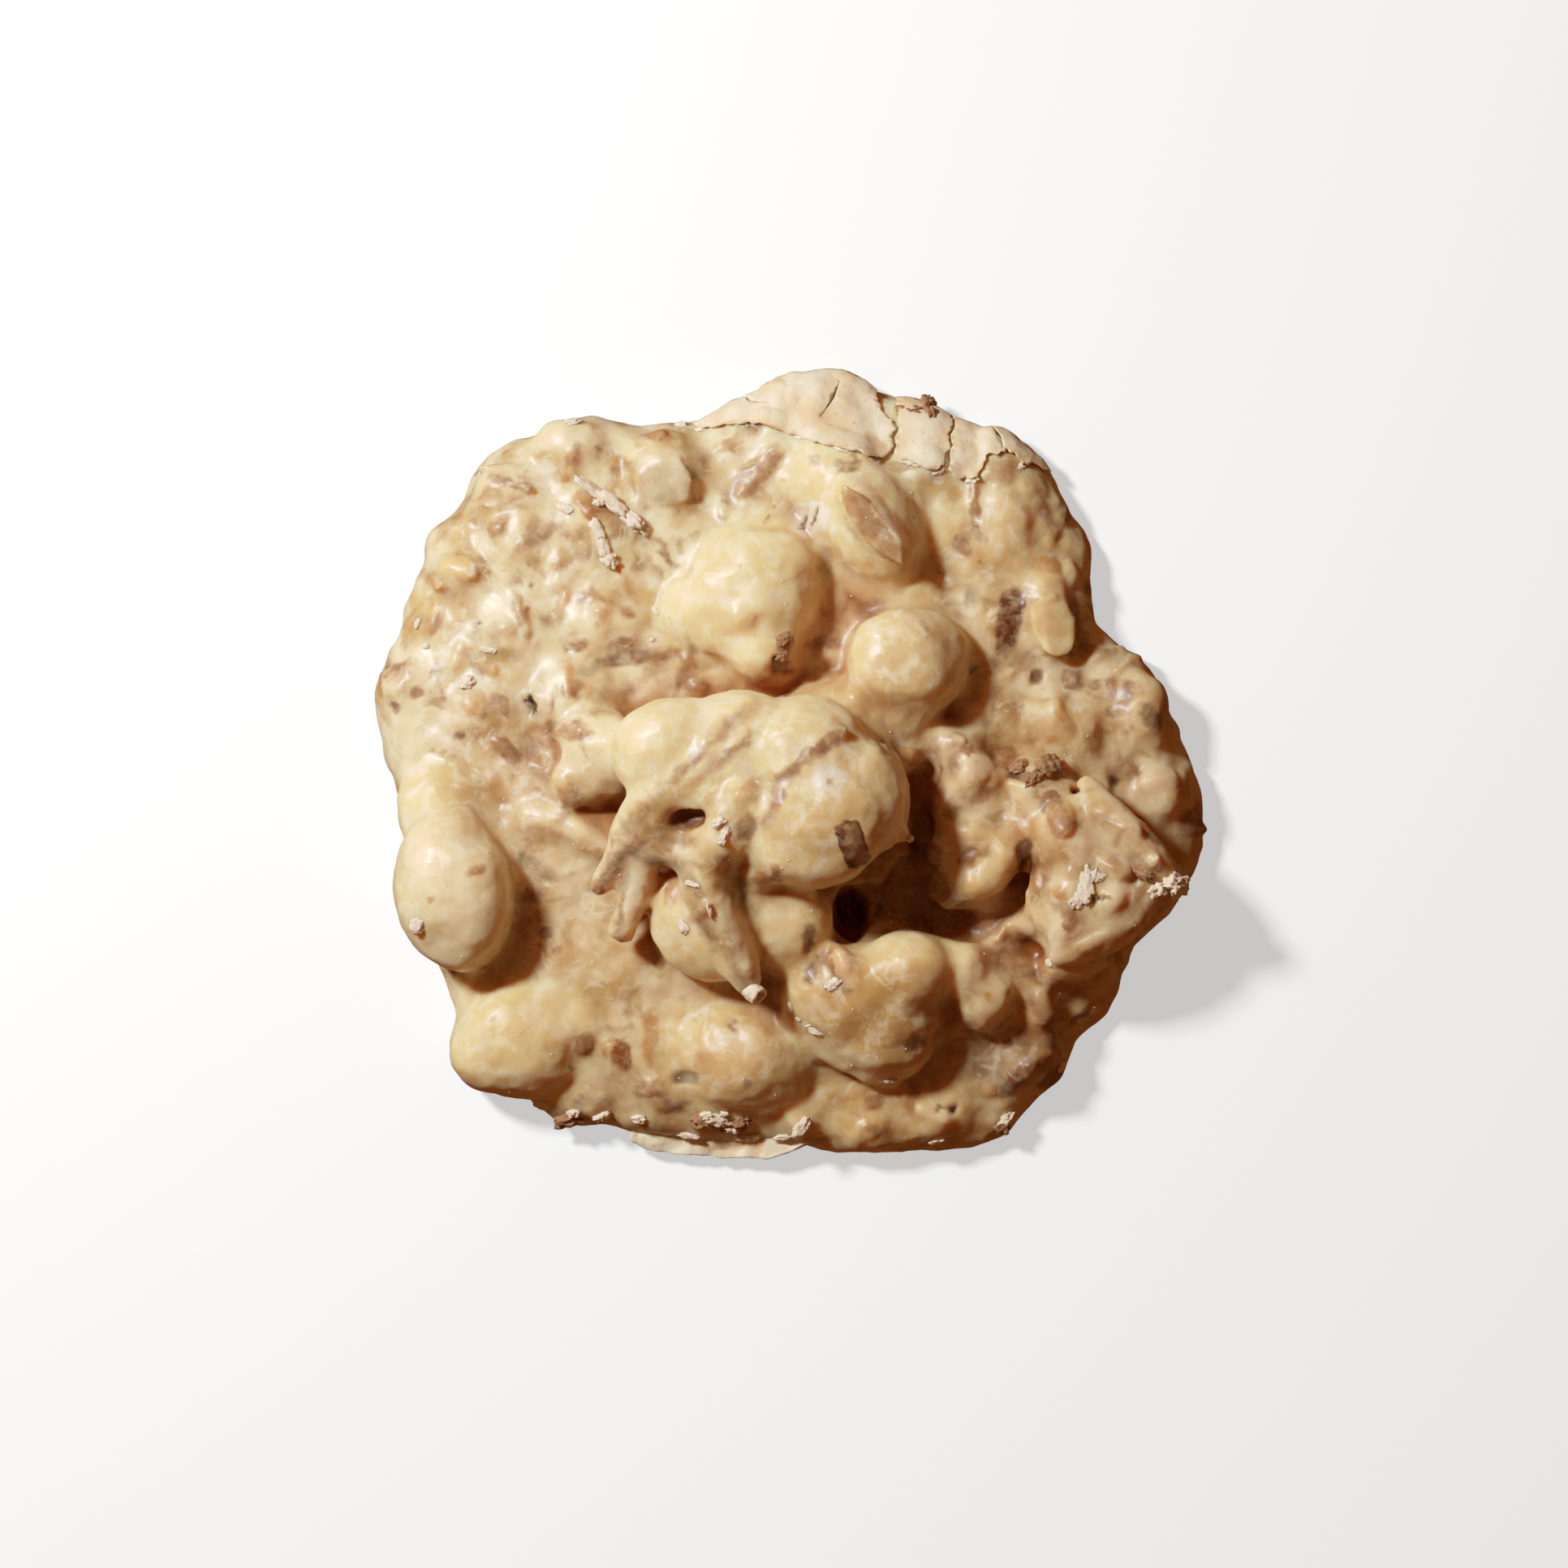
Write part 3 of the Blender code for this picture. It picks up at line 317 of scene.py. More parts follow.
washes = [Wash(*row) for row in (
    (-31, 0, 20, 14, 80, "tan", 0.43), (-26, -19, 16, 10, 40, "tan", 0.17),
    # the umber wash at the lower right is painted shade
    (9, -26, 18, 11, -18, "honey", 0.69), (23.6, -31.2, 12, 7, 15, "umber", 0.62),
    (6, -5, 14, 12, 30, "honey", 0.26), (12.5, 9.6, 13, 12, 0, "honey", 0.3),
    (-5.4, -30.4, 15, 10, -12, "honey", 0.34), (-35.8, -13, 17, 13, 100, "cream", 0.3),
    # both gold washes on this line are painted light over slopes that the shape leaves in shade
    (27, 23.6, 14, 11, 80, "gold", 0.6), (17.2, 26, 12, 6, 80, "gold", 0.34),
    (35, 4, 13, 8, 80, "gold", 0.26), (20.4, -10.4, 8, 6, 45, "gold", 0.6),
    # the gold wash on the lower edge is painted light; the caramel wash beside the left nut is painted
    # shadow
    (10.6, -38, 19, 5.8, 0, "gold", 0.65), (-27.6, -15.2, 8, 4.4, 80, "caramelShadow", 0.52),
    # the first wash on this line is painted shadow beside the left nut
    (-24.4, -8.4, 9, 4, -20, "honey", 0.39), (6.4, -31.2, 11, 2.6, -24, "cream", 0.39),
    # both washes on this line are painted shadow in the valley right of the pile
    (14.2, -7.6, 8, 4.2, 80, "umber", 0.56), (14.5, -14.8, 11, 5, -10, "maroon", 0.52),
)]

scatter = {
    "seed": 7,
    "area": (44, 42),                     # half of what is strewn with bits
    "calm": (-26.0, -18.5, 8.5, 7.0),     # the smooth flat: its middle and half sizes
    "level": 0.5,                         # the skin has to face up this much, and be off the nuts
    "offNuts": 0.05,
    # coated bits that raise the skin, and the ranges that they come from
    "shreds": 140,
    "shredLength": (1.4, 4.8),
    "shredWidth": (0.8, 1.9),
    "shredRise": (0.05, 0.5),
    "shredStrength": (0.25, 0.75),
    "shredSoft": (0.2, 0.7),
    "shredTones": ("mauve", "mauve", "orange", "brown", "tan", "maroon", "cream"),
    # small crisp bits
    "specks": 40,
    "speckLength": (0.4, 1.3),
    "speckWidth": (0.35, 0.8),
    "speckRise": (0, 0.1),
    "speckStrength": (0.4, 0.8),
    "speckSoft": 0.2,
    "speckTones": ("brown", "maroon", "orange", "brown"),
    # dry dust: pale grains, which also stand in for the coat's small glints as painted highlights
    "sparkles": 260,
    "sparkleArea": (42, 40),
    "sparkleSize": (0.10, 0.24),
}

tones = {                  # as the eye sees them, 0 to 255
    "maroon": (112, 62, 40),
    "brown": (150, 94, 54),
    "orange": (196, 138, 78),
    "mauve": (158, 116, 84),
    # umber is also used for painted shade, on the drapes and in washes
    "umber": (124, 88, 60),
    "tan": (186, 142, 94),
    "honey": (190, 142, 74),
    "gold": (230, 197, 138),
    # this tone is painted shadow, used in the wash beside the left nut
    "caramelShadow": (168, 102, 46),
    "cream": (240, 222, 194),
    "rose": (226, 190, 152),
    "ash": (160, 148, 122),
    "bloom": (240, 230, 212),
    # painted shade: the near black that fills sunk pits, holes and cracks
    "pit": (52, 30, 20),
}


# A colour as the eye sees it, 0 to 255, turned to what the shader takes
def shade(red, green, blue):
    parts = [c / 255 for c in (red, green, blue)]
    return (*[c / 12.92 if c < 0.04045 else ((c + 0.055) / 1.055) ** 2.4 for c in parts], 1)


def addObject(name, data):
    thing = bpy.data.objects.new(name, data)
    bpy.context.scene.collection.objects.link(thing)
    return thing


def objectFrom(bm, name):
    mesh = bpy.data.meshes.new(name)
    bm.to_mesh(mesh)
    bm.free()
    return addObject(name, mesh)


def openMesh(mesh):
    bm = bmesh.new()
    bm.from_mesh(mesh)
    return bm


# The corners or edges among what an operator gives back
def only(kind, geom):
    return [item for item in geom if isinstance(item, kind)]


def modify(thing, kind, **settings):
    made = thing.modifiers.new(kind.title(), kind)
    for name, value in settings.items():
        setattr(made, name, value)


# The object as its modifiers make it
def evaluated(thing):
    return thing.evaluated_get(bpy.context.evaluated_depsgraph_get())


def applyModifiers(thing):
    baked = bpy.data.meshes.new_from_object(evaluated(thing))
    thing.modifiers.clear()
    thing.data = baked


# A spot in space, then a way to face, a turn about Z and a tilt about Y, in degrees
def placeAt(spot, turn, tilt, facing=Matrix.Identity(4)):
    return (
        Matrix.Translation(spot) @ facing
        @ Matrix.Rotation(math.radians(turn), 4, "Z")
        @ Matrix.Rotation(math.radians(tilt), 4, "Y")
    )


# Offsets along and across a shape that is turned by so many degrees
def alongAcross(x, y, degrees):
    turn = math.radians(degrees)
    return x * math.cos(turn) + y * math.sin(turn), y * math.cos(turn) - x * math.sin(turn)


def skinOf(mesh):
    bm = openMesh(mesh)
    skin = BVHTree.FromBMesh(bm)
    bm.free()
    return skin


# Where a line straight down meets the skin, and the way that the skin faces there
def dropOn(skin, x, y):
    return skin.ray_cast(Vector((x, y, skyHigh)), -up)[:2]


# The points of a mesh, or their normals
def readPoints(mesh, kind="co"):
    flat = np.zeros(len(mesh.vertices) * 3)
    mesh.vertices.foreach_get(kind, flat)
    return flat.reshape(-1, 3)


def writePoints(mesh, points):
    mesh.vertices.foreach_set("co", points.astype(np.float32).ravel())
    mesh.update()


def writeShare(mesh, name, values):
    layer = mesh.attributes.new(name, "FLOAT", "POINT")
    layer.data.foreach_set("value", values.astype(np.float32))


def writeColour(mesh, name, values):
    layer = mesh.attributes.new(name, "FLOAT_COLOR", "POINT")
    layer.data.foreach_set("color", values.astype(np.float32).ravel())


# Metres, smooth shading, one material, and the body that the piece rides on
def finishPiece(piece, material):
    piece.data.transform(Matrix.Scale(mm, 4))
    piece.data.materials.clear()
    piece.data.materials.append(material)
    piece.data.shade_smooth()
    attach(piece, bodyName)
    print("made", piece.name, len(piece.data.polygons), "faces")


# Points on a smooth closed curve through the given ones
def smoothLoop(points, steps):
    rows = [Vector(p).to_3d() for p in points]
    found = []
    for i in range(len(rows)):
        a, b, c, d = (rows[(i + k) % len(rows)] for k in (-1, 0, 1, 2))
        for t in (s / steps for s in range(steps)):
            found.append(0.5 * (2 * b + (c - a) * t + (2 * a - 5 * b + 4 * c - d) * t * t
                                + (3 * b - a - 3 * c + d) * t ** 3))
    return found


# The slab: rings that step in from the outline as they rise, bridged in pairs
def addPatty(bm):
    edge = smoothLoop(patty["outline"], patty["edgeSteps"])
    gentleX, gentleY, more = patty["gentle"]
    rings = []
    for inset, height in patty["rings"]:
        ring = bmesh.ops.create_circle(bm, segments=len(edge), radius=1)["verts"]
        for vert, p in zip(ring, edge):
            gentle = max(0, (p.x * gentleX + p.y * gentleY) / p.length) ** 3 * more
            step = inset * (1 + gentle) if inset < patty["rimDepth"] else inset
            vert.co = p * (1 - step / p.length) + up * height
        rings.append({e for v in ring for e in v.link_edges})
    for low, high in zip(rings, rings[1:]):
        bmesh.ops.bridge_loops(bm, edges=list(low | high))
    bmesh.ops.edgeloop_fill(bm, edges=list(rings[0]))
    bmesh.ops.edgeloop_fill(bm, edges=list(rings[-1]))


# A ball, shaped point by point and then placed, in a small bmesh of its own because
# the operators slow down as a bmesh grows
def addBall(bm, detail, shape, place):
    small = bmesh.new()
    ball = bmesh.ops.create_icosphere(small, subdivisions=detail, radius=1)["verts"]
    for vert in ball:
        vert.co = shape(vert.co)
    bmesh.ops.transform(small, matrix=place, verts=ball)
    mesh = bpy.data.meshes.new("ball")
    small.to_mesh(mesh)
    small.free()
    bm.from_mesh(mesh)
    bpy.data.meshes.remove(mesh)


# A nut or clot: a ball stretched to its half sizes, with a gently uneven skin
def addLump(bm, lump, detail=4, rough=0.11):
    shift = Vector((lump.x, lump.y, lump.z))

    def uneven(p):
        spot = p + shift
        return p * (1 + rough * (noise.noise(spot * 1.3) + 0.4 * noise.noise(spot * 3.1)))

    place = placeAt(shift, lump.turn, lump.lean) @ Matrix.Diagonal((lump.rx, lump.ry, lump.rz, 1))
    addBall(bm, detail, uneven, place)


# Round strands on smooth curves, as one mesh added to the bmesh
def addStrands(bm, rows, grow=1.0):
    curve = bpy.data.curves.new("strands", "CURVE")
    curve.dimensions = "3D"
    curve.bevel_depth = 1
    curve.bevel_resolution = 3
    curve.resolution_u = 6
    curve.use_fill_caps = True
    for row in rows:
        spline = curve.splines.new("BEZIER")
        spline.bezier_points.add(len(row) - 1)
        for point, (x, y, z, radius) in zip(spline.bezier_points, row):
            point.co = (x, y, z)
            point.radius = radius * grow
            point.handle_left_type = point.handle_right_type = "AUTO"
    thing = addObject("strands", curve)
    bm.from_mesh(bpy.data.meshes.new_from_object(evaluated(thing)))
    bpy.data.objects.remove(thing)


# Grow closed shapes that cross into one skin, and round the creases between them
def fuse(thing, voxel, steps):
    modify(thing, "REMESH", mode="VOXEL", voxel_size=voxel)
    modify(thing, "SMOOTH", factor=0.5, iterations=steps)
    applyModifiers(thing)


def cutOut(thing, bm, operation="DIFFERENCE"):
    bmesh.ops.recalc_face_normals(bm, faces=bm.faces)
    cutter = objectFrom(bm, "cutter")
    modify(thing, "BOOLEAN", operation=operation, solver="FAST", object=cutter)
    applyModifiers(thing)
    bpy.data.objects.remove(cutter)


# Cut on a plane, take away what lies beyond it and close the hole
def cutFlat(bm, spot, way):
    cut = bmesh.ops.bisect_plane(
        bm, geom=bm.verts[:] + bm.edges[:] + bm.faces[:], dist=1e-4,
        plane_co=spot, plane_no=way, clear_outer=True,
    )
    bmesh.ops.edgeloop_fill(bm, edges=only(bmesh.types.BMEdge, cut["geom_cut"]))


def cutHollows(thing):
    bm = bmesh.new()
    for hollow in hollows:
        addLump(bm, hollow, detail=3)
    addStrands(bm, valleys)
    bmesh.ops.recalc_face_normals(bm, faces=bm.faces)
    cutter = objectFrom(bm, "hollows")
    fuse(cutter, patty["cutVoxel"], 1)
    bm = openMesh(cutter.data)
    bpy.data.objects.remove(cutter)
    cutOut(thing, bm)


relief = {
    "slab": ((0.50, 5.6), (0.30, 2.4), (0.08, 1.1)),   # height and size of the bumps off the nuts
    "nut": ((0.26, 3.4), (0.13, 1.4)),                 # and on them
    "nutEdge": (1.32, 0.22),     # where the coat is no more a nut's, in half sizes, and how gently
    "jags": ((1, 1.6), (0.6, 4.1), (0.3, 9.0)),        # how a bit or crumb is uneven
    "bit": (1.1, 1.15, 1.2),     # a raised bit is this much longer, wider and deeper than its mark
    "bitLeast": 0.1,             # a lower mark, or one on a steeper skin, raises nothing
    "bitLevel": 0.35,
    "bitTilt": 10,
    "bitRough": 0.22,
    "grain": (0.45, 1.3),        # how far the noise pulls the edge of a mark, and its size
    "reach": 1.5,                # how far round a mark its edge is worked out
    "thick": 1.2,                # how far under and over the skin a mark counts
    "pitSlope": 0.45,
    "crisp": 0.2,                # a mark with a harder edge than this keeps its corners
    "boxy": 7,
    "round": 3,
    "washEdge": (1.25, 0.6),
    "creaseRounds": 24,          # rounds of smoothing that a crease stands out against
    "deepRays": 12,              # rays from each point, how far they look, and the rounds
    "deepReach": 7,              # that even out what they find
    "deepRounds": 8,
}


# How far inside the nearest nut's skin a point lies: 1 well on a nut, 0 off it
def nutShare(points):
    best = np.zeros(len(points))
    edge, fade = relief["nutEdge"]
    for nut in nuts:
        along, across = alongAcross(points[:, 0] - nut.x, points[:, 1] - nut.y, nut.turn)
        rise = (points[:, 2] - nut.z) / nut.rz
        reach = np.sqrt((along / nut.rx) ** 2 + (across / nut.ry) ** 2 + rise ** 2)
        share = np.clip((edge - reach) / fade, 0, 1) * np.clip((rise + 0.5) / 0.5, 0, 1)
        best = np.maximum(best, share)
    return best


# Bits all over the coat: shreds off the nuts and the smooth flat, and specks anywhere
def scatteredMarks(mesh):
    rng = random.Random(scatter["seed"])
    skin = skinOf(mesh)

    def pick(name):
        return rng.uniform(*scatter[name])

    wide, tall = scatter["area"]
    calmX, calmY, calmWide, calmTall = scatter["calm"]
    made = []
    while len(made) < scatter["shreds"]:
        x = rng.uniform(-wide, wide)
        y = rng.uniform(-tall, tall)
        spot, normal = dropOn(skin, x, y)
        if spot is None or normal.z < scatter["level"]:
            continue
        if nutShare(np.array([spot]))[0] > scatter["offNuts"]:
            continue
        if math.hypot((x - calmX) / calmWide, (y - calmY) / calmTall) < 1:
            continue
        made.append(Mark(
            x, y, pick("shredLength"), pick("shredWidth"), rng.uniform(0, 180),
            rng.choice(scatter["shredTones"]), pick("shredRise"), pick("shredStrength"), pick("shredSoft"),
        ))
    for _ in range(scatter["specks"]):
        made.append(Mark(
            rng.uniform(-wide, wide), rng.uniform(-tall, tall), pick("speckLength"), pick("speckWidth"),
            rng.uniform(0, 180), rng.choice(scatter["speckTones"]), pick("speckRise"),
            pick("speckStrength"), scatter["speckSoft"],
        ))
    return made


# An uneven, slightly boxy bit that lies on the skin: its sizes along, across and off it
def addBit(bm, spot, normal, sizes, turn, tilt, rough, seed, detail):
    shift = Vector((seed * 5.3, 0, 0))

    def boxy(p):
        p = p * (0.65 + 0.35 / sum(abs(c) ** 4 for c in p) ** 0.25)
        jag = sum(share * noise.noise(p * often + shift) for share, often in relief["jags"])
        return Vector([c * (1 + rough * jag) * size / 2 for c, size in zip(p, sizes)])

    facing = normal.to_track_quat("Z", "Y").to_matrix().to_4x4()
    addBall(bm, detail, boxy, placeAt(spot, turn, tilt, facing))


# The turn of the level axis X as seen on a skin with this normal, so that bits keep their turn
def turnOn(normal, turn):
    frameX = normal.to_track_quat("Z", "Y").to_matrix().col[0]
    return turn - math.degrees(math.atan2(frameX.y, frameX.x))


# The raised bits, as lumps sunk in the skin that the next fuse coats over
def addBits(bm, mesh, rows):
    skin = skinOf(mesh)
    rng = random.Random(scatter["seed"])
    longer, wider, deeper = relief["bit"]
    for i, mark in enumerate(rows):
        hit, normal = dropOn(skin, mark.x, mark.y)
        if hit is None or mark.rise < relief["bitLeast"] or normal.z < relief["bitLevel"]:
            continue
        tall = deeper + mark.rise
        sizes = (mark.length * longer, mark.width * wider, tall)
        tilt = rng.uniform(-relief["bitTilt"], relief["bitTilt"])
        addBit(bm, hit + normal * (mark.rise - tall / 2), normal, sizes,
               turnOn(normal, mark.turn), tilt, relief["bitRough"], i, 2)


# Sink the pits, and note each mark's tone on the points round it
def stampMarks(mesh, rows):
    points = readPoints(mesh)
    skin = skinOf(mesh)
    grain, grainSize = relief["grain"]
    pull = grain * np.array([noise.noise_vector(Vector(p) / grainSize) for p in points])
    edge = relief["reach"]
    rise = np.zeros(len(points))
    field = np.full(len(points), -edge)
    colour = np.tile(np.array(shade(*tones["mauve"])), (len(points), 1))
    soft = np.full(len(points), 0.3)
    for mark in rows:
        hit, normal = dropOn(skin, mark.x, mark.y)
        if hit is None:
            continue
        reach = max(mark.length, mark.width) / 2 + edge
        near = np.nonzero((abs(points[:, 0] - hit.x) < reach) & (abs(points[:, 1] - hit.y) < reach))[0]
        offset = points[near] + pull[near] * min(1, mark.soft * 3) - np.array(hit)
        along, across = alongAcross(offset[:, 0], offset[:, 1], mark.turn)
        beyond = np.maximum(abs(offset @ np.array(normal)) - relief["thick"], 0)
        power = relief["boxy"] if mark.soft < relief["crisp"] else relief["round"]
        ratio = (abs(along) * 2 / mark.length) ** power + (abs(across) * 2 / mark.width) ** power
        inner = (1 - ratio ** (1 / power)) * min(mark.length, mark.width) / 2 - beyond
        inner = np.clip(inner, -edge, edge)
        rise[near] += min(mark.rise, 0) * np.clip(inner / relief["pitSlope"] + 0.5, 0, 1)
        better = (inner > field[near]) | (inner > 0)
        chosen = near[better]
        field[chosen] = np.maximum(inner[better], field[chosen])
        colour[chosen] = (*shade(*tones[mark.tone])[:3], mark.strength)
        soft[chosen] = mark.soft
    points += readPoints(mesh, "normal") * rise[:, None]
    points[:, 2] = np.maximum(points[:, 2], 0)
    writePoints(mesh, points)
    return field, colour, soft


# The washes laid one over another, as a colour and how much it covers at each point
def washColour(mesh):
    points = readPoints(mesh)
    edge, fade = relief["washEdge"]
    colour = np.zeros((len(points), 4))
    for wash in washes:
        along, across = alongAcross(points[:, 0] - wash.x, points[:, 1] - wash.y, wash.turn)
        reach = np.hypot(along * 2 / wash.length, across * 2 / wash.width)
        over = np.clip((edge - reach) / fade, 0, 1) * wash.strength
        under = colour[:, 3] * (1 - over)
        total = np.maximum(over + under, 1e-6)
        tone = np.array(shade(*tones[wash.tone])[:3])
        colour[:, :3] = (over[:, None] * tone + under[:, None] * colour[:, :3]) / total[:, None]
        colour[:, 3] = over + under
    return colour


# Crumb relief over the whole skin
def addRelief(mesh):
    points = readPoints(mesh)
    nutty = nutShare(points)
    for i, vert in enumerate(mesh.vertices):
        slab = sum(size * noise.noise(vert.co / bump) for size, bump in relief["slab"])
        nut = sum(size * noise.noise(vert.co / bump) for size, bump in relief["nut"])
        points[i] += np.array(vert.normal) * (slab * (1 - nutty[i]) + nut * nutty[i])
    writePoints(mesh, points)


# How hollow the skin is at each point, against the same skin smoothed
def creaseShare(thing, steps):
    modify(thing, "SMOOTH", iterations=steps)
    smooth = readPoints(evaluated(thing).data)
    thing.modifiers.clear()
    gap = smooth - readPoints(thing.data)
    return (gap * readPoints(thing.data, "normal")).sum(axis=1)


# How closed in each point is: the share of rays off the skin that meet the skin again. The coat's painted
# shade in the hollows follows it.
def deepShare(mesh):
    skin = skinOf(mesh)
    rays = relief["deepRays"]
    golden = math.pi * (3 - math.sqrt(5))
    ways = []
    for i in range(rays):
        z = 1 - (2 * i + 1) / rays
        ring = math.sqrt(1 - z * z)
        ways.append(Vector((ring * math.cos(golden * i), ring * math.sin(golden * i), z)))
    found = np.zeros(len(mesh.vertices))
    for i, vert in enumerate(mesh.vertices):
        start = vert.co + vert.normal * 0.1
        for way in ways:
            side = way if way.dot(vert.normal) > 0 else -way
            if skin.ray_cast(start, side, relief["deepReach"])[0] is not None:
                found[i] += 1
    found /= rays
    # even it out along the edges
    pairs = np.zeros(len(mesh.edges) * 2, dtype=np.int32)
    mesh.edges.foreach_get("vertices", pairs)
    pairs = pairs.reshape(-1, 2)
    count = np.bincount(pairs.ravel(), minlength=len(found)) + 1
    for _ in range(relief["deepRounds"]):
        total = found.copy()
        np.add.at(total, pairs[:, 0], found[pairs[:, 1]])
        np.add.at(total, pairs[:, 1], found[pairs[:, 0]])
        found = total / count
    return found


def flattenBase(thing):
    bm = openMesh(thing.data)
    cutFlat(bm, (0, 0, 0), (0, 0, -1))
    bmesh.ops.triangulate(bm, faces=[f for f in bm.faces if len(f.verts) > 4])
    bm.to_mesh(thing.data)
    bm.free()


def thinOut(thing, triangles):
    thing.data.calc_loop_triangles()
    modify(thing, "DECIMATE", ratio=min(1, triangles / len(thing.data.loop_triangles)))
    applyModifiers(thing)


def buildCoat():
    bm = bmesh.new()
    addPatty(bm)
    for lump in nuts + clots:
        addLump(bm, lump)
    bmesh.ops.recalc_face_normals(bm, faces=bm.faces)
    form = objectFrom(bm, "form")
    fuse(form, patty["formVoxel"], patty["formFillet"])
    print("form", len(form.data.polygons))
    bm = bmesh.new()
    addStrands(bm, strands, patty["drapeGrow"])
    bm.from_mesh(form.data)
    bpy.data.objects.remove(form)
    coat = objectFrom(bm, "pralineCoat")
    fuse(coat, patty["formVoxel"], patty["drapeFillet"])
    cutHollows(coat)
    rows = scatteredMarks(coat.data) + marks
    bm = bmesh.new()
    addBits(bm, coat.data, rows)
    bm.from_mesh(coat.data)
    bm.to_mesh(coat.data)
    bm.free()
    fuse(coat, patty["fineVoxel"], patty["fineFillet"])
    print("fine form", len(coat.data.polygons))
    addRelief(coat.data)
    flattenBase(coat)
    thinOut(coat, patty["triangles"])
    print("thinned", len(coat.data.polygons))
    field, colour, soft = stampMarks(coat.data, rows)
    writeShare(coat.data, "toneField", field)
    writeColour(coat.data, "tone", colour)
    writeColour(coat.data, "wash", washColour(coat.data))
    writeShare(coat.data, "toneSoft", soft)
    writeShare(coat.data, "nut", nutShare(readPoints(coat.data)))
    # these two shares set where the coat's painted shade in the hollows falls
    writeShare(coat.data, "crease", creaseShare(coat, relief["creaseRounds"]))
    writeShare(coat.data, "hollowShade", deepShare(coat.data))
    return coat


crust = {
    "rise": (0.50, 0.47, 0.50),    # how far each plate stands off the coat
    "low": 3.0,                # height down to which it wraps the rim
    "high": 30,
    "crackLow": 2,             # and the height down to which its cracks reach
    "wave": ((0.14, 2.4), (0.07, 0.8)),    # height and size of its bumps
    "rag": 0.16,               # how far a plate's edge strays
    # the coat is cut on these planes first, each a spot and the way to what goes
    "stock": (((-15, 0, 0), (-1, 0, 0)), ((0, 28, 0), (0, -1, 0)), ((0, 0, 1.5), (0, 0, -1))),
    # each plate's edge seen from above; neighbours leave a crack between them
    "plates": (
        ((-12.6, 45), (-12.6, 38.2), (-10.8, 37.5), (-9.4, 36.5), (-7.6, 36.7), (-6.0, 36.9), (-4.4, 37.1),
         (-2.6, 36.7), (-0.9, 36.1), (0.7, 35.6), (2.0, 35.0), (3.5, 34.5), (5.3, 34.1), (7.2, 33.8),
         (8.4, 33.2), (9.9, 33.1), (10.9, 33.9), (11.2, 34.6), (11.0, 35.6), (11.4, 36.4), (11.1, 37.3),
         (10.0, 38.2), (9.8, 39.0), (9.4, 39.8), (9.4, 45)),
        ((11.3, 45), (11.4, 40.0), (11.8, 38.6), (11.5, 37.4), (11.7, 36.4), (11.3, 35.4), (11.5, 34.5),
         (11.2, 33.5), (12.6, 32.9), (14.2, 32.1), (15.6, 31.8), (16.6, 32.3), (16.9, 33.6), (17.3, 34.6),
         (17.1, 35.8), (17.6, 36.8), (17.4, 45)),
        ((17.7, 45), (17.8, 36.7), (17.3, 35.7), (17.6, 34.6), (17.2, 33.5), (17.0, 31.9), (18.0, 30.9),
         (19.2, 30.9), (20.2, 31.0), (20.8, 32.6), (21.4, 33.7), (22.4, 33.5), (23.4, 34.2), (24.4, 33.4),
         (25.0, 32.5), (26.2, 32.7), (27.4, 32.0), (28.8, 31.8), (31.0, 31.4), (33, 33), (33, 45)),
    ),
    # cracks: from, through and to, and how wide
    "cracks": (
        ((3.4, 37.6), (4.6, 39.6), (5.4, 41.6), 0.22), ((21.8, 36.8), (22.6, 35.6), (23.0, 34.2), 0.18),
        ((-5.4, 40.6), (-4.2, 39.4), (-2.4, 39.2), 0.14),
    ),
    "edge": 1.5,               # how far in from its edge a plate looks torn
}


# The thin flange that juts from the lower rim and curls up at its right end
flange = {
    # seen from above: where it leaves the coat, where it ends, and its height at both
    "spans": (
        (-17.2, -38.6, -40.2, 2.2, 1.9), (-15.6, -38.8, -41.2, 2.3, 1.8), (-13.0, -39.0, -41.8, 2.3, 1.6),
        (-10.2, -39.2, -41.8, 2.2, 1.8), (-7.4, -39.4, -42.3, 2.3, 1.6), (-4.6, -39.2, -42.2, 2.4, 1.9),
        (-2.0, -38.8, -42.2, 2.6, 2.1), (0.4, -38.0, -41.6, 2.9, 2.6), (2.4, -37.0, -40.2, 3.4, 3.6),
        (3.2, -36.8, -38.6, 3.8, 4.4),
    ),
    "thickness": 0.7,
    "wave": ((0.3, 1.7), (0.08, 0.6)),    # height and size of its waves
    "cuts": 7,
    "lowest": 0.05,
}


def buildFlange():
    bm = bmesh.new()
    rows = []
    for x, inner, outer, high, low in flange["spans"]:
        spots = [(x, inner + (outer - inner) * t, high + (low - high) * t) for t in (0, 0.5, 1)]
        rows.append([bm.verts.new(spot) for spot in spots])
    for first, second in zip(rows, rows[1:]):
        for i in range(2):
            bm.faces.new((first[i], first[i + 1], second[i + 1], second[i]))
    bmesh.ops.subdivide_edges(bm, edges=bm.edges, cuts=flange["cuts"], smooth=1, use_grid_fill=True)
    (broad, broadSize), (fine, fineSize) = flange["wave"]
    for vert in bm.verts:
        spot = vert.co.copy()
        vert.co += noise.noise_vector(spot / broadSize) * broad + noise.noise_vector(spot / fineSize) * fine
    bmesh.ops.recalc_face_normals(bm, faces=bm.faces)
    sheet = objectFrom(bm, "lowerFlange")
    modify(sheet, "SOLIDIFY", thickness=flange["thickness"], offset=0)
    applyModifiers(sheet)
    points = readPoints(sheet.data)
    points[:, 2] = np.maximum(points[:, 2], flange["lowest"])
    writePoints(sheet.data, points)
    writeShare(sheet.data, "edge", np.zeros(len(points)))
    return sheet


